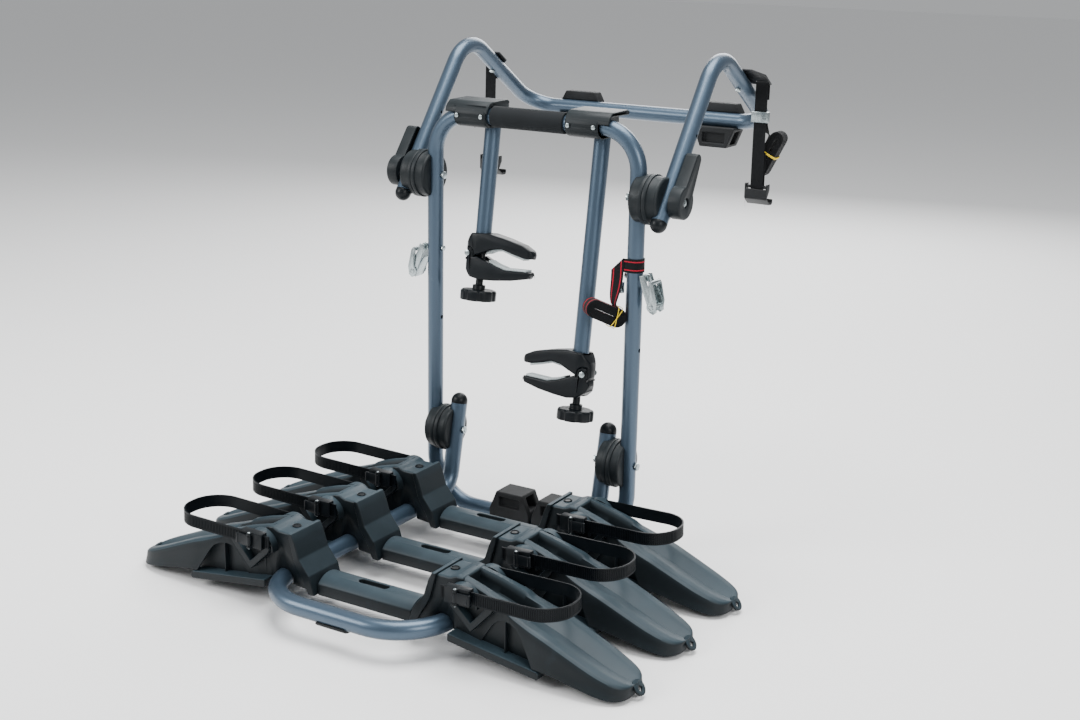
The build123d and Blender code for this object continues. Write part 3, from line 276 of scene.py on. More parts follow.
# Hard charcoal mouldings: pivot hubs, arm brackets and the levers outside the upper pivots.
# They are glass-filled nylon with a fine spark-eroded grain, a little polished on their edges.
nylon = Finish("grained_charcoal_nylon", Specular_IOR_Level=0.22)
grain = nylon.speckle(2300, 3)
patch = nylon.speckle(14, 4)
rubbed = nylon.ramp(nylon.speckle(70, 5, roughness=0.7), 0.58, 0.72)
# Faces that look up are made lighter and greyer, in patches.
lighter_facing_up = nylon.ramp(nylon.upward(), 0.2, 0.95)
grey = nylon.tint(patch, (0.0038, 0.0056, 0.0068, 1), (0.0084, 0.0120, 0.0144, 1))
grey = nylon.tint(rubbed * 0.25, grey, (0.030, 0.038, 0.043, 1))
grey = nylon.tint(lighter_facing_up * patch * 0.35, grey, (0.045, 0.057, 0.062, 1))
nylon.show(
    Base_Color=grey,
    Roughness=0.42 + patch * 0.12 - rubbed * 0.08,
    Normal=nylon.relief(grain, 0.35, 0.00012),
)
for node, edge in (
    ("frame_hubs", 0.0012),
    ("hoop_hubs", 0.0012),
    ("platform_hubs", 0.0012),
    ("arm_bracket_left", 0.0018),
    ("arm_bracket_right", 0.0018),
    ("pivot_lever_left", 0.0010),
    ("pivot_lever_right", 0.0010),
):
    finished(node, nylon.material, edge)

# Glossier black mouldings: the clamps' jaws and knobs, the tube caps and the wheel straps' buckles.
# They are plain injection-moulded nylon, smooth where hands turn them.
gloss = Finish("smooth_black_nylon", Specular_IOR_Level=0.18)
swirl = gloss.speckle(30, 4)
scratch = gloss.ramp(gloss.speckle(180, 6, roughness=0.8), 0.60, 0.75)
black = gloss.tint(swirl, (0.0024, 0.0036, 0.0048, 1), (0.0056, 0.0078, 0.0098, 1))
black = gloss.tint(scratch * 0.3, black, (0.024, 0.028, 0.031, 1))
gloss.show(
    Base_Color=black,
    Roughness=0.30 + swirl * 0.14 + scratch * 0.12,
    Normal=gloss.relief(gloss.speckle(1500, 2), 0.18, 0.0001),
)
for side in ("left", "right"):
    for part, edge in (("body", 0.0032), ("jaw", 0.0028), ("knob", 0.0016)):
        finished(f"clamp_{part}_{side}", gloss.material, edge, 3)
for node, edge in (("hoop_caps", 0.0004), ("platform_caps", 0.0004), ("strap_buckles", 0.0009)):
    finished(node, gloss.material, edge)
tray_names = ("near", "mid", "far")
for name in tray_names:
    for side in ("left", "right"):
        finished(f"buckle_lever_{name}_{side}", gloss.material, edge=0.0006)

# Soft pads in the mouths of the clamps: pale grey moulded rubber, grooved across to grip a tube.
# Each clamp has one on its fixed jaw and one on the jaw that tilts.
pad = Finish("pale_grip_rubber", Specular_IOR_Level=0.3)
groove_rate = 1900  # radians per metre
smudge = pad.speckle(60, 4)
pale = pad.tint(smudge, (0.42, 0.47, 0.48, 1), (0.60, 0.66, 0.67, 1))
grooves = (pad.node("ShaderNodeSeparateXYZ", {}, {0: pad.place()}, "X") * groove_rate).maths("SINE")
# The rubber's colour is darker in the bottoms of the grooves: painted shade.
pad.show(
    Base_Color=pad.tint(pad.ramp(grooves, 0.0, 0.4) * 0.5 + 0.5, (0.30, 0.34, 0.35, 1), pale),
    Roughness=0.62 + smudge * 0.1,
    Normal=pad.relief(grooves * 0.6 + pad.speckle(1400, 2) * 0.3, 0.4, 0.0004),
)
for node in ("liner_upper_left", "liner_upper_right", "liner_lower_left", "liner_lower_right"):
    finished(node, pad.material, edge=0.0009)

# Rubber saddles and the foot under the front bar: moulded in one, matt, with a light bloom on top.
# The saddles are pushed on the hoop's crossbar and on the frame's bottom bar, with moulded pockets.
rubber = Finish("matt_moulded_rubber", Specular_IOR_Level=0.28)
bloom = rubber.speckle(22, 5, roughness=0.65)
rubber.show(
    Base_Color=rubber.tint(
        rubber.ramp(bloom, 0.35, 0.8), (0.0045, 0.0050, 0.0056, 1), (0.014, 0.016, 0.018, 1)
    ),
    Roughness=0.55 + bloom * 0.18,
    Normal=rubber.relief(rubber.speckle(900, 4), 0.3, 0.0002),
)


def cut(pieces, cutter):
    """Take a cutter's shape out of each piece, and then the cutter away."""
    for piece in pieces:
        only(piece)
        notch = piece.modifiers.new("notch", "BOOLEAN")
        notch.operation = "DIFFERENCE"
        notch.solver = "EXACT"
        notch.object = cutter
        bpy.ops.object.modifier_apply(modifier=notch.name)
    bpy.data.objects.remove(cutter)


def pocketed(node, pockets, edge):
    """A saddle with pockets let in, each by its middle and size, and its edges rounded."""
    saddle = finished(node, rubber.material)
    for place, size in pockets:
        bpy.ops.object.select_all(action="DESELECT")
        bpy.ops.mesh.primitive_cube_add(size=1, location=place)
        pocket = bpy.context.object
        pocket.scale = size
        bpy.ops.object.transform_apply(location=True, rotation=True, scale=True)
        cut([saddle], pocket)
    return ease(saddle, edge, 3)


crossbar_y, crossbar_z, saddle_edge = 0.5145, 0.758, 0.0022
notch_ahead, notch_up, notch_size = 0.030, 0.028, (0.12, 0.060, 0.080)
upper_pocket_up, upper_pocket_size = 0.019, (0.048, 0.020, 0.020)
lower_pocket_down, lower_pocket_size = 0.020, (0.046, 0.020, 0.020)
upper_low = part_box("upper_saddles")[0]
lower_low, lower_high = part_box("lower_saddles")
upper_pockets, lower_pockets = [], []
for x in (-0.152, 0.165):
    upper_pockets.append(((x, crossbar_y - notch_ahead, crossbar_z + notch_up), notch_size))
    upper_pockets.append(((x, upper_low.y, upper_low.z + upper_pocket_up), upper_pocket_size))
for x in (-0.026, 0.068):
    lower_pockets.append(((x, lower_low.y, lower_high.z - lower_pocket_down), lower_pocket_size))
pocketed("upper_saddles", upper_pockets, saddle_edge)
pocketed("lower_saddles", lower_pockets, saddle_edge)
finished("front_foot", rubber.material, edge=0.0012)

# Bolts, pins, ratchets and the small cam buckle: pressed and turned steel, bright zinc plated.
# The bolts go through the tubes at the pivots, and the ratchets stand on bolts of their own.
zinc = Finish("bright_zinc_plate", Metallic=1.0)
spangle = zinc.node("ShaderNodeTexVoronoi", {}, {"Vector": zinc.place(), "Scale": 420}, "Distance")
tarnish = zinc.speckle(120, 4)
silver = zinc.tint(tarnish, (0.26, 0.31, 0.32, 1), (0.62, 0.68, 0.69, 1))
zinc.show(
    Base_Color=zinc.tint(spangle * 0.3, silver, (0.12, 0.16, 0.17, 1)),
    Roughness=0.16 + tarnish * 0.14 + spangle * 0.1,
    Normal=zinc.relief(tarnish, 0.15, 0.0001),
)
for node, edge in (
    ("pivot_bolts", 0.0006),
    ("strap_hardware", 0.0006),
    ("upper_strap_hardware", 0.0008),
    ("holder_fasteners_left", 0.0004),
    ("holder_fasteners_right", 0.0004),
    ("ratchet_left", 0.0005),
    ("ratchet_right", 0.0005),
    ("ratchet_handle_left", 0.0005),
    ("ratchet_handle_right", 0.0005),
):
    finished(node, zinc.material, edge)

# Strap brackets and boot hooks: pressed steel under black powder coat, worn grey along the edges.
# The brackets are bolted to the hoop, and the hooks hang in the lower ends of the upper straps.
powder = Finish("black_powder_coat", Metallic=0.1)
orange = powder.speckle(1100, 3)
worn = powder.ramp(powder.speckle(150, 6, roughness=0.8), 0.62, 0.72)
powder.show(
    Base_Color=powder.tint(worn * 0.35, (0.0048, 0.0060, 0.0072, 1), (0.07, 0.075, 0.08, 1)),
    Roughness=0.40 + orange * 0.16,
    Normal=powder.relief(orange, 0.3, 0.0002),
)
for node in ("strap_brackets", "strap_hook_left", "strap_hook_right"):
    finished(node, powder.material, edge=0.0006)

# Foam grip on the top bar: a sleeve of closed-cell foam between the two arm brackets.
# It is slipped over the tube, grips it by its own stretch, and has rounded ends.
grip_low, grip_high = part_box("foam_grip")
grip_centre = (grip_low + grip_high) / 2
grip_length = grip_high.x - grip_low.x
grip_outer = (grip_high.z - grip_low.z) / 2
grip_inner, grip_edge = 0.0153, 0.0016


def cylinder(sides, radius, length, centre, turned, ends="NGON"):
    """A cylinder at a place, upright and then turned round Y, with open ends for NOTHING."""
    bpy.ops.object.select_all(action="DESELECT")
    bpy.ops.mesh.primitive_cylinder_add(
        vertices=sides, radius=radius, depth=length, end_fill_type=ends,
        location=centre, rotation=(0, turned, 0),
    )
    bpy.ops.object.transform_apply(location=True, rotation=True, scale=True)
    return bpy.context.object


def walled(piece, thickness):
    """Give a skin its wall, on the inner side of its faces."""
    only(piece)
    wall = piece.modifiers.new("wall", "SOLIDIFY")
    wall.thickness = thickness
    wall.offset = -1
    bpy.ops.object.modifier_apply(modifier=wall.name)


foam_sleeve = cylinder(72, grip_outer, grip_length, grip_centre, math.pi / 2, "NOTHING")
foam_sleeve.name = "foam_sleeve"
walled(foam_sleeve, grip_outer - grip_inner)
ease(foam_sleeve, grip_edge, 3, 50)
foam = Finish("closed_cell_foam", Specular_IOR_Level=0.2)
cells = foam.node("ShaderNodeTexVoronoi", {}, {"Vector": foam.place(), "Scale": 950}, "Distance")
felt = foam.speckle(35, 4)
foam.show(
    Base_Color=foam.tint(felt, (0.0055, 0.0068, 0.0080, 1), (0.0115, 0.0138, 0.0158, 1)),
    Roughness=0.78 + felt * 0.1,
    Normal=foam.relief(cells + felt * 2, 0.5, 0.0003),
)
foam_sleeve.data.materials.append(foam.material)
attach(foam_sleeve, "upright")
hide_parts("foam_grip")

# Wheel trays: a beam between two cradles, all moulded in charcoal polypropylene.
# The beam arches a little across, with a slot in the middle to thread a strap through.
poly = Finish("charcoal_polypropylene", Specular_IOR_Level=0.22)
fine = poly.speckle(1900, 3)
flow = poly.speckle(7, 5, roughness=0.6)
wiped = poly.ramp(poly.speckle(26, 6, roughness=0.72), 0.54, 0.74)
# Faces that look up are lightened towards a grey-teal: painted sheen.
painted_top_sheen = poly.ramp(poly.upward(), 0.25, 0.95)
tray_grey = poly.tint(flow, (0.0028, 0.0048, 0.0062, 1), (0.0058, 0.0094, 0.0118, 1))
tray_grey = poly.tint(painted_top_sheen * (0.25 + flow * 0.75) + wiped * 0.10, tray_grey, (0.036, 0.060, 0.076, 1))
poly.show(
    Base_Color=tray_grey,
    Roughness=0.40 + flow * 0.10 + wiped * 0.08,
    Normal=poly.relief(fine + flow, 0.25, 0.00014),
)
for name in tray_names:
    finished(f"tray_beam_{name}", poly.material, edge=0.0022, segments=3)

# Cradles: a ribbed shoulder over the rail, a base strip and a brace on each flank, and a wing.
# The wing is a thin shell with two crests, open below, that carries the wheel in its groove.
# All of a cradle is one moulding, made here for the right side and copied to the six places.
tray_half = 0.508
tray_y = (-0.4115, -0.2315, -0.0515)


def modelled(name, points, edges, faces):
    """A new piece from its points and the edges and faces between them."""
    mesh = bpy.data.meshes.new(name)
    mesh.from_pydata([tuple(point) for point in points], edges, faces)
    return placed(name, mesh)


def outwards():
    """Turn every selected face to look outwards."""
    bpy.ops.mesh.normals_make_consistent(inside=False)


def moulded_plate(points, low, high, edge, segments=3):
    """A plate with an outline in X and Z, drawn out from low to high in Y, its edges rounded."""
    plate = modelled("plate", [(x, low, z) for x, z in points], [], [list(range(len(points)))])
    reworked(
        plate,
        lambda: bpy.ops.mesh.extrude_region_move(TRANSFORM_OT_translate={"value": (0, high - low, 0)}),
        outwards,
    )
    return ease(plate, edge, segments, 12)


def outline(shares):
    """Points of an outline, given as shares of the tray's half length."""
    return [(x * tray_half, z * tray_half) for x, z in shares]


def beside(way, span):
    """Lowest and highest Y of a plate on one flank, from its inner and outer distance."""
    return sorted((way * span[0], way * span[1]))


rail_x, rail_z, rail_r, rail_slack = 0.165, 0.051, 0.0163, 0.005
channel_bottom, channel_half = -0.01, 0.06
arc = [math.radians(a) for a in range(0, 91, 9)]
channel_points = [(rail_x + rail_r, channel_bottom)]
channel_points += [(rail_x + rail_r * math.cos(a), rail_z + rail_r * math.sin(a)) for a in arc]
channel_points += [
    (rail_x - rail_slack - rail_r * math.cos(a), rail_z + rail_r * math.sin(a)) for a in reversed(arc)
]
channel_points += [(rail_x - rail_slack - rail_r, channel_bottom)]
channel = moulded_plate(channel_points, -channel_half, channel_half, 0)

shoulder_half, shoulder_edge = 0.035, 0.0045
shoulder = moulded_plate(outline((
    (0.197, 0.071), (0.366, 0.087), (0.394, 0.098), (0.394, 0.268), (0.366, 0.270), (0.343, 0.260),
    (0.295, 0.260), (0.274, 0.232), (0.256, 0.173), (0.220, 0.126),
)), -shoulder_half, shoulder_half, shoulder_edge, segments=4)
rib_half, rib_edge = 0.040, 0.0018
rib = moulded_plate(outline((
    (0.189, 0.065), (0.209, 0.130), (0.250, 0.181), (0.268, 0.236), (0.281, 0.264), (0.295, 0.264),
    (0.295, 0.252), (0.289, 0.232), (0.272, 0.169), (0.238, 0.114), (0.215, 0.065),
)), -rib_half, rib_half, rib_edge)
cradle_plates = [shoulder, rib]

strip_outline = outline((
    (0.366, 0.069), (0.690, 0.0244), (0.697, 0.031), (0.697, 0.044), (0.690, 0.052), (0.366, 0.0965),
))
brace_outline = outline((
    (0.354, 0.203), (0.366, 0.183), (0.441, 0.112), (0.516, 0.193), (0.524, 0.209), (0.504, 0.213),
    (0.441, 0.142), (0.374, 0.205),
))
recess_outline = outline((
    (0.395, 0.076), (0.690, 0.036), (0.690, 0.060), (0.640, 0.140), (0.590, 0.170), (0.520, 0.195),
    (0.395, 0.230),
))
web_outline = outline(((0.560, 0.050), (0.563, 0.050), (0.563, 0.172), (0.560, 0.172)))
strip_span, brace_span, recess_span = (0.034, 0.060), (0.034, 0.051), (0.0335, 0.0365)
web_span, hood_span = (0.034, 0.0460), (0.034, 0.0505)
strip_edge, brace_edge, rim_edge = 0.0022, 0.0014, 0.0008
hood_x, hood_z, hood_r, hood_wall = 0.205, 0.101, 0.031, 0.003
hood_from, hood_to = -8, 188
ray_count, ray_from, ray_step = 8, 12, 22
ray_root, ray_tip, ray_half = 0.004, 0.0295, 0.0006


def ring(radius, low, high, steps=20):
    """Points on an arc of the hood, from one angle to another in degrees."""
    angles = [math.radians(low + (high - low) * k / steps) for k in range(steps + 1)]
    return [(hood_x + radius * math.cos(a), hood_z + radius * math.sin(a)) for a in angles]


for way in (-1, 1):
    cradle_plates.append(moulded_plate(strip_outline, *beside(way, strip_span), strip_edge))
    cradle_plates.append(moulded_plate(brace_outline, *beside(way, brace_span), brace_edge))
    # floor of the arched recess over the strip, with one thin upright web on it
    cradle_plates.append(moulded_plate(recess_outline, *beside(way, recess_span), 0))
    cradle_plates.append(moulded_plate(web_outline, *beside(way, web_span), 0))
    # hood over the buckle's foot, with a fan of thin webs under it
    cradle_plates.append(moulded_plate(
        ring(hood_r, hood_from, hood_to) + ring(hood_r - hood_wall, hood_to, hood_from),
        *beside(way, hood_span), rim_edge, segments=2,
    ))
    for k in range(ray_count):
        a = math.radians(ray_from + ray_step * k)
        hub, ray = Vector((hood_x, hood_z)), Vector((math.cos(a), math.sin(a)))
        aside = Vector((-math.sin(a), math.cos(a))) * ray_half
        corners = (hub + ray * ray_root - aside, hub + ray * ray_tip - aside,
                   hub + ray * ray_tip + aside, hub + ray * ray_root + aside)
        cradle_plates.append(moulded_plate(corners, *beside(way, web_span), 0))
# boss on the near flank that the buckle is screwed to
boss_outline = ((0.193, 0.104), (0.223, 0.104), (0.223, 0.124), (0.193, 0.124))
boss_span, boss_edge = (0.031, 0.051), 0.0012
cradle_plates.append(moulded_plate(boss_outline, *beside(-1, boss_span), boss_edge))
cut([shoulder, rib], channel)

# each station: shares of half length, half width, crest height, groove depth and underside height
wing_stations = (
    (0.374, 0.610, 0.985, 0.030, 0.309), (0.472, 0.700, 0.890, 0.035, 0.265),
    (0.545, 0.820, 0.795, 0.050, 0.240), (0.591, 0.910, 0.730, 0.062, 0.221),
    (0.650, 0.970, 0.650, 0.072, 0.214), (0.709, 1.000, 0.575, 0.074, 0.206),
    (0.827, 0.970, 0.390, 0.070, 0.125), (0.885, 0.920, 0.300, 0.062, 0.080),
    (0.925, 0.820, 0.242, 0.050, 0.052), (0.950, 0.660, 0.205, 0.036, 0.044),
    (0.965, 0.410, 0.180, 0.018, 0.044), (0.969, 0.090, 0.170, 0.004, 0.050),
)
wing_half, wing_crest, crest_in, wing_wall = 0.059, 0.136, 0.0085, 0.0028
valley_depth, valley_end, valley_side = 0.019, (0.590, 0.625), (0.36, 0.50)
ridge_height, ridge_end, ridge_side = 0.0038, (0.545, 0.575), (0.50, 0.60)
groove_side, edge_drop, edge_from, deck_crown = 0.62, 0.0030, 0.86, 0.0012
flank_drop, flank_in, least_skin, deck_steps = 0.0022, 0.0012, 0.002, 18


def between(stations, steps):
    """More stations on a smooth line through the given ones."""
    rows = []
    for i in range(len(stations) - 1):
        four = [stations[min(max(i + k, 0), len(stations) - 1)] for k in (-1, 0, 1, 2)]
        for k in range(steps):
            t = k / steps
            rows.append([
                b + 0.5 * t * ((c - a) + t * ((2 * a - 5 * b + 4 * c - d) + t * (3 * b - a - 3 * c + d)))
                for a, b, c, d in zip(*four)
            ])
    return rows + [list(stations[-1])]


def ease_in(value, low, high):
    """Smooth step from 0 at low to 1 at high."""
    share = min(max((value - low) / (high - low), 0), 1)
    return share * share * (3 - 2 * share)


def wing_profile(along, half_share, crest_share, groove_share, bottom_share):
    """Section of the wing's skin: flank, deck with two lobes or two flat ridges, flank."""
    half, crest, bottom = half_share * wing_half, crest_share * wing_crest, bottom_share * wing_crest
    top_half = half - crest_in * half_share
    valley = valley_depth * (1 - ease_in(along, *valley_end))
    ridge = ridge_height * (1 - ease_in(along, *ridge_end))
    deck = []
    for k in range(-deck_steps, deck_steps + 1):
        u = k / deck_steps
        lobe = groove_share * wing_crest * max(0, 1 - abs(u) / groove_side) ** 1.25
        trough = valley * (1 - ease_in(abs(u), *valley_side))
        raised = ridge * ease_in(abs(u), *ridge_side)
        drop = edge_drop * half_share * ease_in(abs(u), edge_from, 1.0) ** 1.5
        height = crest - lobe - trough + raised - drop - deck_crown * abs(u) ** 3
        deck.append((top_half * u, max(height, bottom + least_skin)))
    top = deck[-1][1]
    flank = [(half - (half - top_half) * k, bottom + (top - flank_drop * half_share - bottom) * k)
             for k in (0, 0.35, 0.7, 1)]
    flank[-1] = (top_half + flank_in * half_share, flank[-1][1])
    return [(-y, z) for y, z in flank] + deck + flank[::-1]


wing_rows = between(wing_stations, steps=9)
wing_points = [(row[0] * tray_half, y, z) for row in wing_rows for y, z in wing_profile(*row)]
columns = len(wing_points) // len(wing_rows)
wing = modelled("wing", wing_points, [], [
    (r * columns + c, (r + 1) * columns + c, (r + 1) * columns + c + 1, r * columns + c + 1)
    for r in range(len(wing_rows) - 1)
    for c in range(columns - 1)
])
walled(wing, wing_wall)
arch_outline = outline((
    (0.452, 0.060), (0.690, 0.020), (0.672, 0.056), (0.622, 0.140), (0.605, 0.160), (0.580, 0.172),
    (0.555, 0.175), (0.532, 0.168), (0.512, 0.150),
))
arch_span = (0.0375, 0.066)
for way in (-1, 1):
    cut([wing], moulded_plate(arch_outline, *beside(way, arch_span), 0))
ease(wing, 0, bend=28)

# lip that curls down from the wing's end, with a diamond hole for a cord
lip_turn, lip_centre = math.radians(52), Vector((0.4945, 0.003, 0.0155))
lip_r, lip_thick, lip_edge = 0.0135, 0.0045, 0.0010
hole_r, hole_length, hole_shift = 0.0062, 0.02, 0.003
hole_centre = lip_centre + Vector((math.cos(lip_turn), 0, -math.sin(lip_turn))) * hole_shift
lip = cylinder(48, lip_r, lip_thick, lip_centre, lip_turn)
cut([lip], cylinder(4, hole_r, hole_length, hole_centre, lip_turn))
ease(lip, lip_edge, bend=40)


def joined(pieces):
    """Several pieces made one, which keeps the first one's name."""
    bpy.ops.object.select_all(action="DESELECT")
    for piece in pieces:
        piece.select_set(True)
    bpy.context.view_layer.objects.active = pieces[0]
    bpy.ops.object.join()
    return pieces[0]


def copied(piece, name, move):
    """A copy with its own mesh, moved to its place, and turned right way out if it is mirrored."""
    mesh = piece.data.copy()
    mesh.transform(move)
    if move.determinant() < 0:
        mesh.flip_normals()
    return placed(name, mesh)


cradle = joined([wing, lip] + cradle_plates)
cradle.data.materials.clear()
cradle.data.materials.append(poly.material)
for name, y in zip(tray_names, tray_y):
    cradles = joined([
        copied(cradle, f"tray_cradles_{name}_moulding",
               Matrix.Translation((0, y, 0)) @ Matrix.Diagonal((s, 1, 1, 1)))
        for s in (-1, 1)
    ])
    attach(cradles, "platform")
    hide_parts(f"tray_cradles_{name}")
bpy.data.objects.remove(cradle)

# Screw caps on the shoulders: a turned rim round a sunken disc, in smooth black nylon.
# Each is pressed in over the screw that holds its cradle.
cap_x, cap_bottom = 0.162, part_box("screw_caps")[0].z
cap_profile = ((0, 0.0009), (0.0048, 0.0009), (0.0054, 0.0003), (0.0060, 0.0009), (0.0064, 0.0018),
               (0.0072, 0.0020), (0.0079, 0.0014), (0.0080, 0.0))
cap = modelled("cap", [(r, 0, z) for r, z in cap_profile],
               [(i, i + 1) for i in range(len(cap_profile) - 1)], [])
reworked(
    cap,
    lambda: bpy.ops.mesh.spin(steps=40, angle=2 * math.pi, center=(0, 0, 0), axis=(0, 0, 1)),
    lambda: bpy.ops.mesh.remove_doubles(threshold=0.00001),
    outwards,
)
screw_caps = joined([
    copied(cap, "screw_caps_turned", Matrix.Translation((s * cap_x, y, cap_bottom)))
    for y in tray_y
    for s in (-1, 1)
])
bpy.data.objects.remove(cap)
screw_caps.data.materials.append(gloss.material)
ease(screw_caps, 0, bend=40)
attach(screw_caps, "platform")
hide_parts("screw_caps")

# Arm bracket hoods: the same charcoal nylon, one thick skin that curls over the collar's front.
# Each runs back from there as a flat roof over the arm's socket, with all its edges rounded.
bar_y, bar_z, hood_edge = 0.0775, 0.785, 0.0016
for side in ("left", "right"):
    low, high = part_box(f"arm_bracket_{side}")
    back = high.y - bar_y
    hood_points = [
        (-0.0202, 0.0050), (-0.0186, 0.0125), (-0.0145, 0.0185), (-0.0085, 0.0230), (0.0, 0.0258),
        (back - 0.006, 0.0266), (back + 0.0005, 0.0240), (back + 0.0015, 0.0200), (back - 0.001, 0.0172),
        (0.0, 0.0186), (-0.0080, 0.0172), (-0.0135, 0.0125), (-0.0160, 0.0050),
    ]
    hood = moulded_plate([(bar_y + y, bar_z + z) for y, z in hood_points], -high.x, -low.x, hood_edge)
    hood.name = f"arm_bracket_{side}_hood"
    hood.data.transform(Matrix.Rotation(math.pi / 2, 4, "Z"))
    hood.data.materials.append(nylon.material)
    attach(hood, f"arm_{side}")

# Wheel straps: nylon bands with a fine toothed face between two smooth rails.
# Each leaves its buckle, goes round the tyre's place and comes back to the far side of the cradle.
buckle_x, buckle_z = 0.208, 0.119
strap_tilt = math.radians(1.5)
strap_reach = 0.180
strap_route = [(u * strap_reach, v * strap_reach) for u, v in (
    (-0.19, -0.329), (0.0, -0.333), (1.0, -0.356), (1.0, 0.244), (0.0, 0.256), (-0.167, 0.2022),
)]
route_bends = (0.020, 0.050, 0.050, 0.020)
band_half, band_thick, tooth_pitch = 0.011, 0.0025, 0.0034
rail_width, floor_out, tooth_sink, tooth_short = 0.0022, 0.0002, 0.0003, 0.0001
inner, face_out, rail = -band_thick / 2, band_thick / 2, band_half - rail_width
tooth_low, tooth_high = floor_out - tooth_sink, face_out - tooth_short
band_section = [
    (inner, -band_half), (face_out, -band_half), (face_out, -rail), (floor_out, -rail),
    (floor_out, rail), (face_out, rail), (face_out, band_half), (inner, band_half),
]
tooth_section = [(tooth_low, -rail), (tooth_high, -rail), (tooth_high, rail), (tooth_low, rail)]


def rounded_route(points, bends, steps):
    """Flat line through points, with an arc at each corner."""
    line = [Vector(points[0])]
    for before, corner, after, bend in zip(points, points[1:], points[2:], bends):
        before, corner, after = Vector(before), Vector(corner), Vector(after)
        way_in, way_out = (corner - before).normalized(), (after - corner).normalized()
        swing = way_in.angle_signed(way_out)
        reach = bend * math.tan(abs(swing) / 2)
        start = corner - way_in * reach
        side = Vector((-way_in.y, way_in.x)) * (-math.copysign(1, swing))
        middle = start + side * bend
        for k in range(steps + 1):
            spoke = Matrix.Rotation(-swing * k / steps, 2) @ (start - middle)
            line.append(middle + spoke)
    return line + [Vector(points[-1])]


def evenly(line, pitch):
    """The same line with its points a steady pitch apart, and the direction at each."""
    lengths = [0.0]
    for a, b in zip(line, line[1:]):
        lengths.append(lengths[-1] + (b - a).length)
    count = int(lengths[-1] / pitch)
    found, k = [], 0
    for i in range(count + 1):
        want = lengths[-1] * i / count
        while k < len(line) - 2 and lengths[k + 1] < want:
            k += 1
        share = (want - lengths[k]) / max(lengths[k + 1] - lengths[k], 1e-9)
        found.append((line[k].lerp(line[k + 1], share), (line[k + 1] - line[k]).normalized()))
    return found


def tube_faces(rows, size):
    """Faces between rows of points round a closed section, with both ends shut."""
    faces = []
    for r in range(rows - 1):
        for c in range(size):
            d = (c + 1) % size
            faces.append((r * size + c, r * size + d, (r + 1) * size + d, (r + 1) * size + c))
    faces.append(tuple(range(size))[::-1])
    faces.append(tuple((rows - 1) * size + c for c in range(size)))
    return faces


def seat(point, way, origin, outward, across):
    """A function that puts a point of the band's section at one stop on the route."""
    normal = Vector((way.y, -way.x))

    def put(out, up):
        flat = point + normal * out
        return origin + outward * flat.x + Vector((0, flat.y, 0)) + across * up
    return put


band_points, band_faces = [], []


def sweep(section, seats):
    """Add a closed section that runs through seats to the bands."""
    start = len(band_points)
    band_points.extend(put(*point) for put in seats for point in section)
    band_faces.extend(tuple(start + i for i in face) for face in tube_faces(len(seats), len(section)))


stops = evenly(rounded_route(strap_route, route_bends, steps=14), tooth_pitch / 2)
for y in tray_y:
    for s in (-1, 1):
        across = Vector((-math.sin(strap_tilt) * s, 0, math.cos(strap_tilt)))
        outward = Vector((s * math.cos(strap_tilt), 0, math.sin(strap_tilt)))
        origin = Vector((s * buckle_x, y, buckle_z))
        seats = [seat(point, way, origin, outward, across) for point, way in stops]
        sweep(band_section[::s], seats)
        for i in range(1, len(seats) - 2, 2):
            sweep(tooth_section[::s], seats[i:i + 2])
wheel_straps = modelled("wheel_straps_toothed", band_points, [], band_faces)
reworked(wheel_straps, outwards)
ease(wheel_straps, 0, bend=30)
band_nylon = Finish("toothed_band_nylon", Specular_IOR_Level=0.13)
streak = band_nylon.speckle(90, 4)
band_nylon.show(
    Base_Color=band_nylon.tint(streak, (0.0016, 0.0026, 0.0036, 1), (0.0036, 0.0056, 0.0076, 1)),
    Roughness=0.34 + streak * 0.16,
    Normal=band_nylon.relief(band_nylon.speckle(1800, 2), 0.15, 0.0001),
)
wheel_straps.data.materials.append(band_nylon.material)
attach(wheel_straps, "platform")
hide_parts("wheel_straps")

# Buckle pins: short turned steel pins with domed ends, zinc plated like the bolts.
# Each is pushed through a buckle, and the buckle's lever swings on it.
pin_r, pin_stand, pin_ahead, pin_edge = 0.0026, 0.0006, 0.07, 0.0011
buckle_low, buckle_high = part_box("strap_buckles")
pin_half = (buckle_high.z - buckle_low.z) / 2 + pin_stand
pin = ease(cylinder(28, pin_r, 2 * pin_half, (0, 0, 0), 0), pin_edge, 4)
buckle_pins = joined([
    copied(pin, "buckle_pins", Matrix.Translation((s * buckle_x, y - pin_ahead, buckle_z))
           @ Matrix.Rotation(-s * strap_tilt, 4, "Y"))
    for y in tray_y
    for s in (-1, 1)
])
bpy.data.objects.remove(pin)
buckle_pins.data.materials.append(zinc.material)
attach(buckle_pins, "platform")

# Tie-down webbing: woven polyester, 25 mm wide. The lower strap has two red lines along it.
# It goes round the right upright, folds over its own corner, drops down and is wound into a roll.
webbing_half, webbing_thick, millimetres = 0.0125, 0.0016, 1000


def webbing(name, rows, material):
    """A ribbon through rows of (middle, half width, face normal), with a map in millimetres."""
    section = ((-1, 0), (-0.96, 1), (0.96, 1), (1, 0), (0.96, -1), (-0.96, -1))
    points, marks, run = [], [], 0.0
    for i, (middle, half, normal) in enumerate(rows):
        if i:
            run += (middle - rows[i - 1][0]).length
        for across, out in section:
            points.append(middle + half * across + normal * (out * webbing_thick / 2))
            marks.append((across * webbing_half * millimetres, run * millimetres))
    ribbon = modelled(name, points, [], tube_faces(len(rows), len(section)))
    weave = ribbon.data.uv_layers.new(name="weave")
    for loop in ribbon.data.loops:
        weave.data[loop.index].uv = marks[loop.vertex_index]
    ribbon.data.materials.append(material)
    reworked(ribbon, outwards)
    return ease(ribbon, 0, bend=50), run


def faced(middles, halves):
    """Rows with their face normals taken from the line and the width."""
    rows = []
    for i, (middle, half) in enumerate(zip(middles, halves)):
        ahead, behind = middles[min(i + 1, len(middles) - 1)], middles[max(i - 1, 0)]
        rows.append((middle, half, half.cross(ahead - behind).normalized()))
    return rows


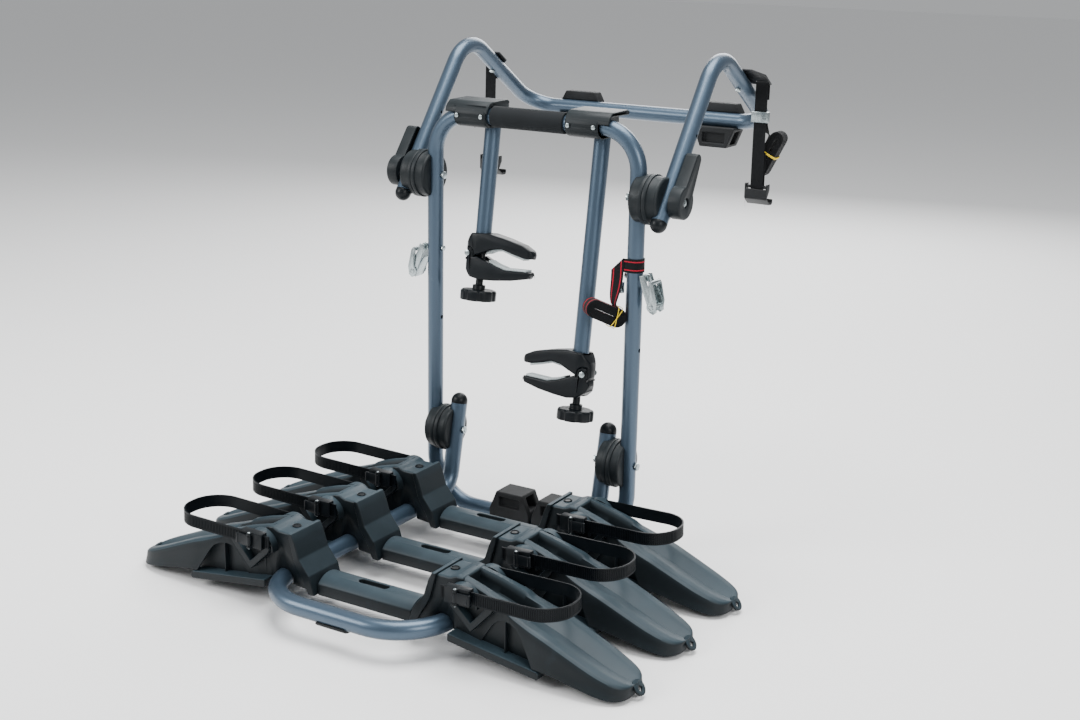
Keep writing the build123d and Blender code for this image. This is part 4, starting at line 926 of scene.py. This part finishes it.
def wound(half, outer, pitch, loops, steps=12):
    """Centre line of a flat roll in its own two axes, from the outer end inwards."""
    line = []
    for k in range(2 * loops * steps + 1):
        angle = math.pi * k / steps
        middle = half if (k // steps) % 2 == 0 else -half
        r = outer - pitch * angle / (2 * math.pi)
        line.append((middle + r * math.sin(angle), r * math.cos(angle)))
        if k % steps == 0 and k:
            line.append((-middle + r * math.sin(angle), r * math.cos(angle)))
    return line


def laid(line, middle, along, up, side, ripple, slip=0.0004):
    """A wound line in its place, with its turns a little out of true at their edges."""
    return [
        middle + along * p + up * q + side * (slip * math.sin(i * ripple)) for i, (p, q) in enumerate(line)
    ]


def falling(handles, swing, first, steps):
    """Middles and half widths of webbing that falls on a curve and swings round as it goes."""
    middles, halves = [], []
    for k in range(first, steps + 1):
        t = k / steps
        weights = ((1 - t) ** 3, 3 * t * (1 - t) ** 2, 3 * t * t * (1 - t), t ** 3)
        middles.append(sum((h * w for h, w in zip(handles, weights)), Vector()))
        angle = -swing * ease_in(t, 0, 1)
        halves.append(Vector((math.cos(angle), math.sin(angle), 0)) * webbing_half)
    return middles, halves


def woven(name, red):
    """Woven polyester: a fine chevron of yarns, with two red lines where red says so."""
    line_out, line_half = 7.4, 1.0  # millimetres
    chevron_rate, yarn_rate, rib_rate = 2.6, 3.9, 4.4  # radians per millimetre
    chevron_share = 2.2
    cloth = Finish(name, Specular_IOR_Level=0.10, Sheen_Weight=0.06, Sheen_Roughness=0.5)
    map_node = cloth.node("ShaderNodeUVMap", {"uv_map": "weave"})
    u = cloth.node("ShaderNodeSeparateXYZ", {}, {0: map_node}, "X")
    v = cloth.node("ShaderNodeSeparateXYZ", {}, {0: map_node}, "Y")
    chevron = (u * chevron_rate).maths("SINE").maths("ABSOLUTE")
    yarn = (v * yarn_rate + chevron * chevron_share).maths("SINE")
    ribs = (u * rib_rate).maths("SINE")
    height = yarn * 0.6 + ribs * 0.5
    fuzz = cloth.speckle(260, 4)
    # The yarns are darker in the dips of the weave and lighter on its crests: painted shade.
    shade = cloth.tint(cloth.ramp(height, 0.0, 0.9), (0.0022, 0.0026, 0.0030, 1), (0.011, 0.0125, 0.0145, 1))
    shade = cloth.tint(fuzz * 0.3, shade, (0.022, 0.023, 0.026, 1))
    if red:
        line = (u.maths("ABSOLUTE") - line_out).maths("ABSOLUTE").maths("LESS_THAN", line_half)
        # The red yarn is also darker in the dips of the weave: painted shade.
        thread = cloth.tint(cloth.ramp(yarn, 0.0, 0.8), (0.30, 0.006, 0.020, 1), (0.72, 0.020, 0.055, 1))
        shade = cloth.tint(line, shade, thread)
    cloth.show(Base_Color=shade, Roughness=0.74 + fuzz * 0.12, Normal=cloth.relief(height, 0.7, 0.0004))
    return cloth.material


wrap_centre, wrap_r = Vector((0.214, 0.0775, 0.5475)), 0.0161
wrap_from, wrap_sweep, wrap_steps = 60, 150, 20
fold_x, fold_z, fold_steps = 0.188, 0.5475, 5
front_y = wrap_centre.y - wrap_r
wrap_middles = [
    wrap_centre + Vector((math.cos(a), math.sin(a), 0)) * wrap_r
    for a in (math.radians(wrap_from - wrap_sweep * k / wrap_steps) for k in range(wrap_steps + 1))
]
wrap_middles.append(Vector((0.207, front_y, fold_z)))
strap_rows = faced(wrap_middles, [Vector((0, 0, webbing_half))] * len(wrap_middles))

# the fold: the front layer ends on a slanting edge, turns over it and goes down behind itself
low_corner = Vector((fold_x - webbing_half, front_y, fold_z - webbing_half))
high_corner = Vector((fold_x + webbing_half, front_y, fold_z + webbing_half))
side_corner = Vector((high_corner.x, front_y, low_corner.z))
for k in range(fold_steps + 1):
    foot = side_corner.lerp(low_corner, k / fold_steps)
    strap_rows.append(((foot + high_corner) / 2, (high_corner - foot) / 2, Vector((0, -1, 0))))
fold_out = Vector((-1, 0, 1)).normalized()
for k in range(1, fold_steps + 1):
    a = math.pi * k / (fold_steps + 1)
    normal = Vector((0, -math.cos(a), 0)) + fold_out * math.sin(a)
    set_back = Vector((0, -webbing_thick / 2 + webbing_thick / 2 * math.cos(a), 0))
    middle = (low_corner + high_corner) / 2 + set_back + fold_out * (webbing_thick / 2 * math.sin(a))
    strap_rows.append((middle, (high_corner - low_corner) / 2, normal))
side_corner = Vector((high_corner.x, front_y - webbing_thick, low_corner.z))
for k in range(fold_steps + 1):
    head = (high_corner - Vector((0, webbing_thick, 0))).lerp(side_corner, k / fold_steps)
    foot = low_corner - Vector((0, webbing_thick, 0))
    strap_rows.append(((foot + head) / 2, (head - foot) / 2, Vector((0, 1, 0))))

# the drop and the roll, which hangs turned and sloped beside the upright
roll_turn, roll_slope = math.radians(48), math.radians(25)
roll_side = Vector((math.sin(roll_turn), -math.cos(roll_turn), 0))
roll_level = Vector((math.cos(roll_turn), math.sin(roll_turn), 0))
roll_along = roll_level * math.cos(roll_slope) - Vector((0, 0, math.sin(roll_slope)))
roll_up = roll_level * math.sin(roll_slope) + Vector((0, 0, math.cos(roll_slope)))
roll_half, roll_outer, roll_pitch, roll_loops, roll_lower = 0.0229, 0.0171, 0.00195, 8, 0.0012
roll_middle = Vector((0.175, 0.0409, 0.464)) - roll_up * roll_lower
drop_fall, meet_along, meet_lead, meet_rise = 0.034, 0.012, 0.009, 0.006
start = Vector((fold_x, front_y - webbing_thick, fold_z - webbing_half))
meet = roll_middle + roll_along * meet_along + roll_up * roll_outer
lead = meet - roll_along * meet_lead + roll_up * meet_rise
handles = (start, start - Vector((0, 0, drop_fall)), lead, meet)
drop_middles, drop_halves = falling(handles, math.pi / 2 - roll_turn, first=1, steps=15)
drop_middles += laid(
    wound(roll_half, roll_outer, roll_pitch, roll_loops),
    roll_middle, roll_along, roll_up, roll_side, ripple=0.7,
)
drop_halves += [roll_side * webbing_half] * (len(drop_middles) - len(drop_halves))
strap_rows += faced(drop_middles, drop_halves)
lower_strap, lower_length = webbing("lower_webbing", strap_rows, woven("red_lined_webbing", True))
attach(lower_strap, "upright")
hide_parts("lower_strap")

# Upper straps: the same webbing in plain black, looped over each bracket and round its hook's pin.
# The right one passes a buckle, and its spare end is wound into a flat bundle beside it.
black_webbing = woven("black_webbing", False)
strap_x, top_y, top_z, strap_drop, loop_r = 0.300, 0.4052, 0.8462, 0.194, 0.00412
tuck, tuck_step, tail, tail_lean, bow = 0.030, 0.006, 0.065, 0.0015, 0.0009
half_turn = [math.pi * k / 10 for k in range(11)]
bottom_z = top_z - strap_drop
upper_route = [(loop_r, top_z - tuck + tuck_step * k) for k in range(5)]
upper_route += [(loop_r * math.cos(a), top_z + loop_r * math.sin(a)) for a in half_turn]
upper_route += [
    (-loop_r - bow * math.sin(math.pi * k / 18), top_z - strap_drop * k / 18) for k in range(1, 18)
]
upper_route += [
    (loop_r * math.cos(math.pi + a), bottom_z + loop_r * math.sin(math.pi + a)) for a in half_turn
]
upper_route += [(loop_r - tail_lean * k / 8, bottom_z + tail * k / 8) for k in range(1, 9)]
bundle_half, bundle_outer, bundle_pitch, bundle_loops = 0.033, 0.0145, 0.00195, 6
lean = math.radians(63.4)
along = Vector((math.cos(lean), 0, math.sin(lean)))
out = Vector((-math.sin(lean), 0, math.cos(lean)))
centre = Vector((0.314, top_y + 0.020, top_z - 0.132))
spare_fall, join_along, join_lead = 0.022, 0.020, 0.016
begin = Vector((strap_x, top_y - loop_r + 0.0071, top_z - 0.070))
join = centre + along * join_along + out * bundle_outer
for side, s in (("left", -1), ("right", 1)):
    middles = [Vector((s * strap_x, top_y + y, z)) for y, z in upper_route]
    rows = faced(middles, [Vector((webbing_half, 0, 0))] * len(middles))
    upper, upper_length = webbing(f"upper_webbing_{side}", rows, black_webbing)
    if side == "right":
        handles = (begin, begin - Vector((0, 0, spare_fall)), join + along * join_lead, join)
        spare, width = falling(handles, math.pi / 2, first=0, steps=12)
        spare += laid(
            wound(bundle_half, bundle_outer, bundle_pitch, bundle_loops),
            centre, -along, out, Vector((0, 1, 0)), ripple=0.9,
        )
        width += [Vector((0, -webbing_half, 0))] * (len(spare) - len(width))
        spare_end, spare_length = webbing("upper_webbing_spare", faced(spare, width), black_webbing)
        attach(spare_end, "hoop")
    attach(upper, "hoop")
    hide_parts(f"upper_strap_{side}")

# Elastic bands that keep the rolls shut: thin yellow rubber, pulled tight over the webbing's edges.
# The lower roll has two loops that cross, and the spare end's bundle has three side by side.
elastic = Finish("yellow_elastic", Specular_IOR_Level=0.35)
stretch = elastic.speckle(240, 3)
elastic.show(
    Base_Color=elastic.tint(stretch, (0.70, 0.47, 0.012, 1), (0.90, 0.68, 0.035, 1)),
    Roughness=0.42 + stretch * 0.16,
    Normal=elastic.relief(stretch, 0.2, 0.0002),
)
elastic_r, elastic_wide, lower_tall, upper_tall = 0.0007, 0.0140, 0.0196, 0.0169


def elastic_band(name, passes, radius):
    """A rubber band as closed loops of round elastic."""
    curve = bpy.data.curves.new(name, "CURVE")
    curve.dimensions = "3D"
    curve.bevel_depth = radius
    curve.bevel_resolution = 3
    curve.resolution_u = 6
    for points in passes:
        spline = curve.splines.new("NURBS")
        spline.points.add(len(points) - 1)
        for point, place in zip(spline.points, points):
            point.co = (*place, 1)
        spline.use_cyclic_u = True
        spline.order_u = 3
    only(placed(name, curve))
    bpy.ops.object.convert(target="MESH")
    band = bpy.context.object
    band.data.materials.append(elastic.material)
    return ease(band, 0, bend=50)


def around(middle, wide, tall, along, skew, half_wide, half_tall, shift=0.0):
    """Corner points of a band round a roll, slid along it by a share of its height."""
    return [
        middle + wide * (a * half_wide) + tall * (b * half_tall) + along * (skew * b + shift)
        for a, b in ((1, 1), (0, 1), (-1, 1), (-1, 0), (-1, -1), (0, -1), (1, -1), (1, 0))
    ]


lower_place = roll_middle + roll_along * 0.021
lower_band = elastic_band("lower_elastic", [
    around(lower_place, roll_side, roll_up, roll_along, skew, elastic_wide, lower_tall)
    for skew in (-0.0045, 0.0045)
], elastic_r)
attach(lower_band, "upright")
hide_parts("lower_band")
upper_band = elastic_band("upper_elastic", [
    around(centre, Vector((0, 1, 0)), out, along, skew, elastic_wide, upper_tall, shift)
    for skew, shift in ((0.0003, -0.0012), (-0.0004, 0.0), (0.0002, 0.0012))
], elastic_r)
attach(upper_band, "hoop")
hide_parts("upper_band")
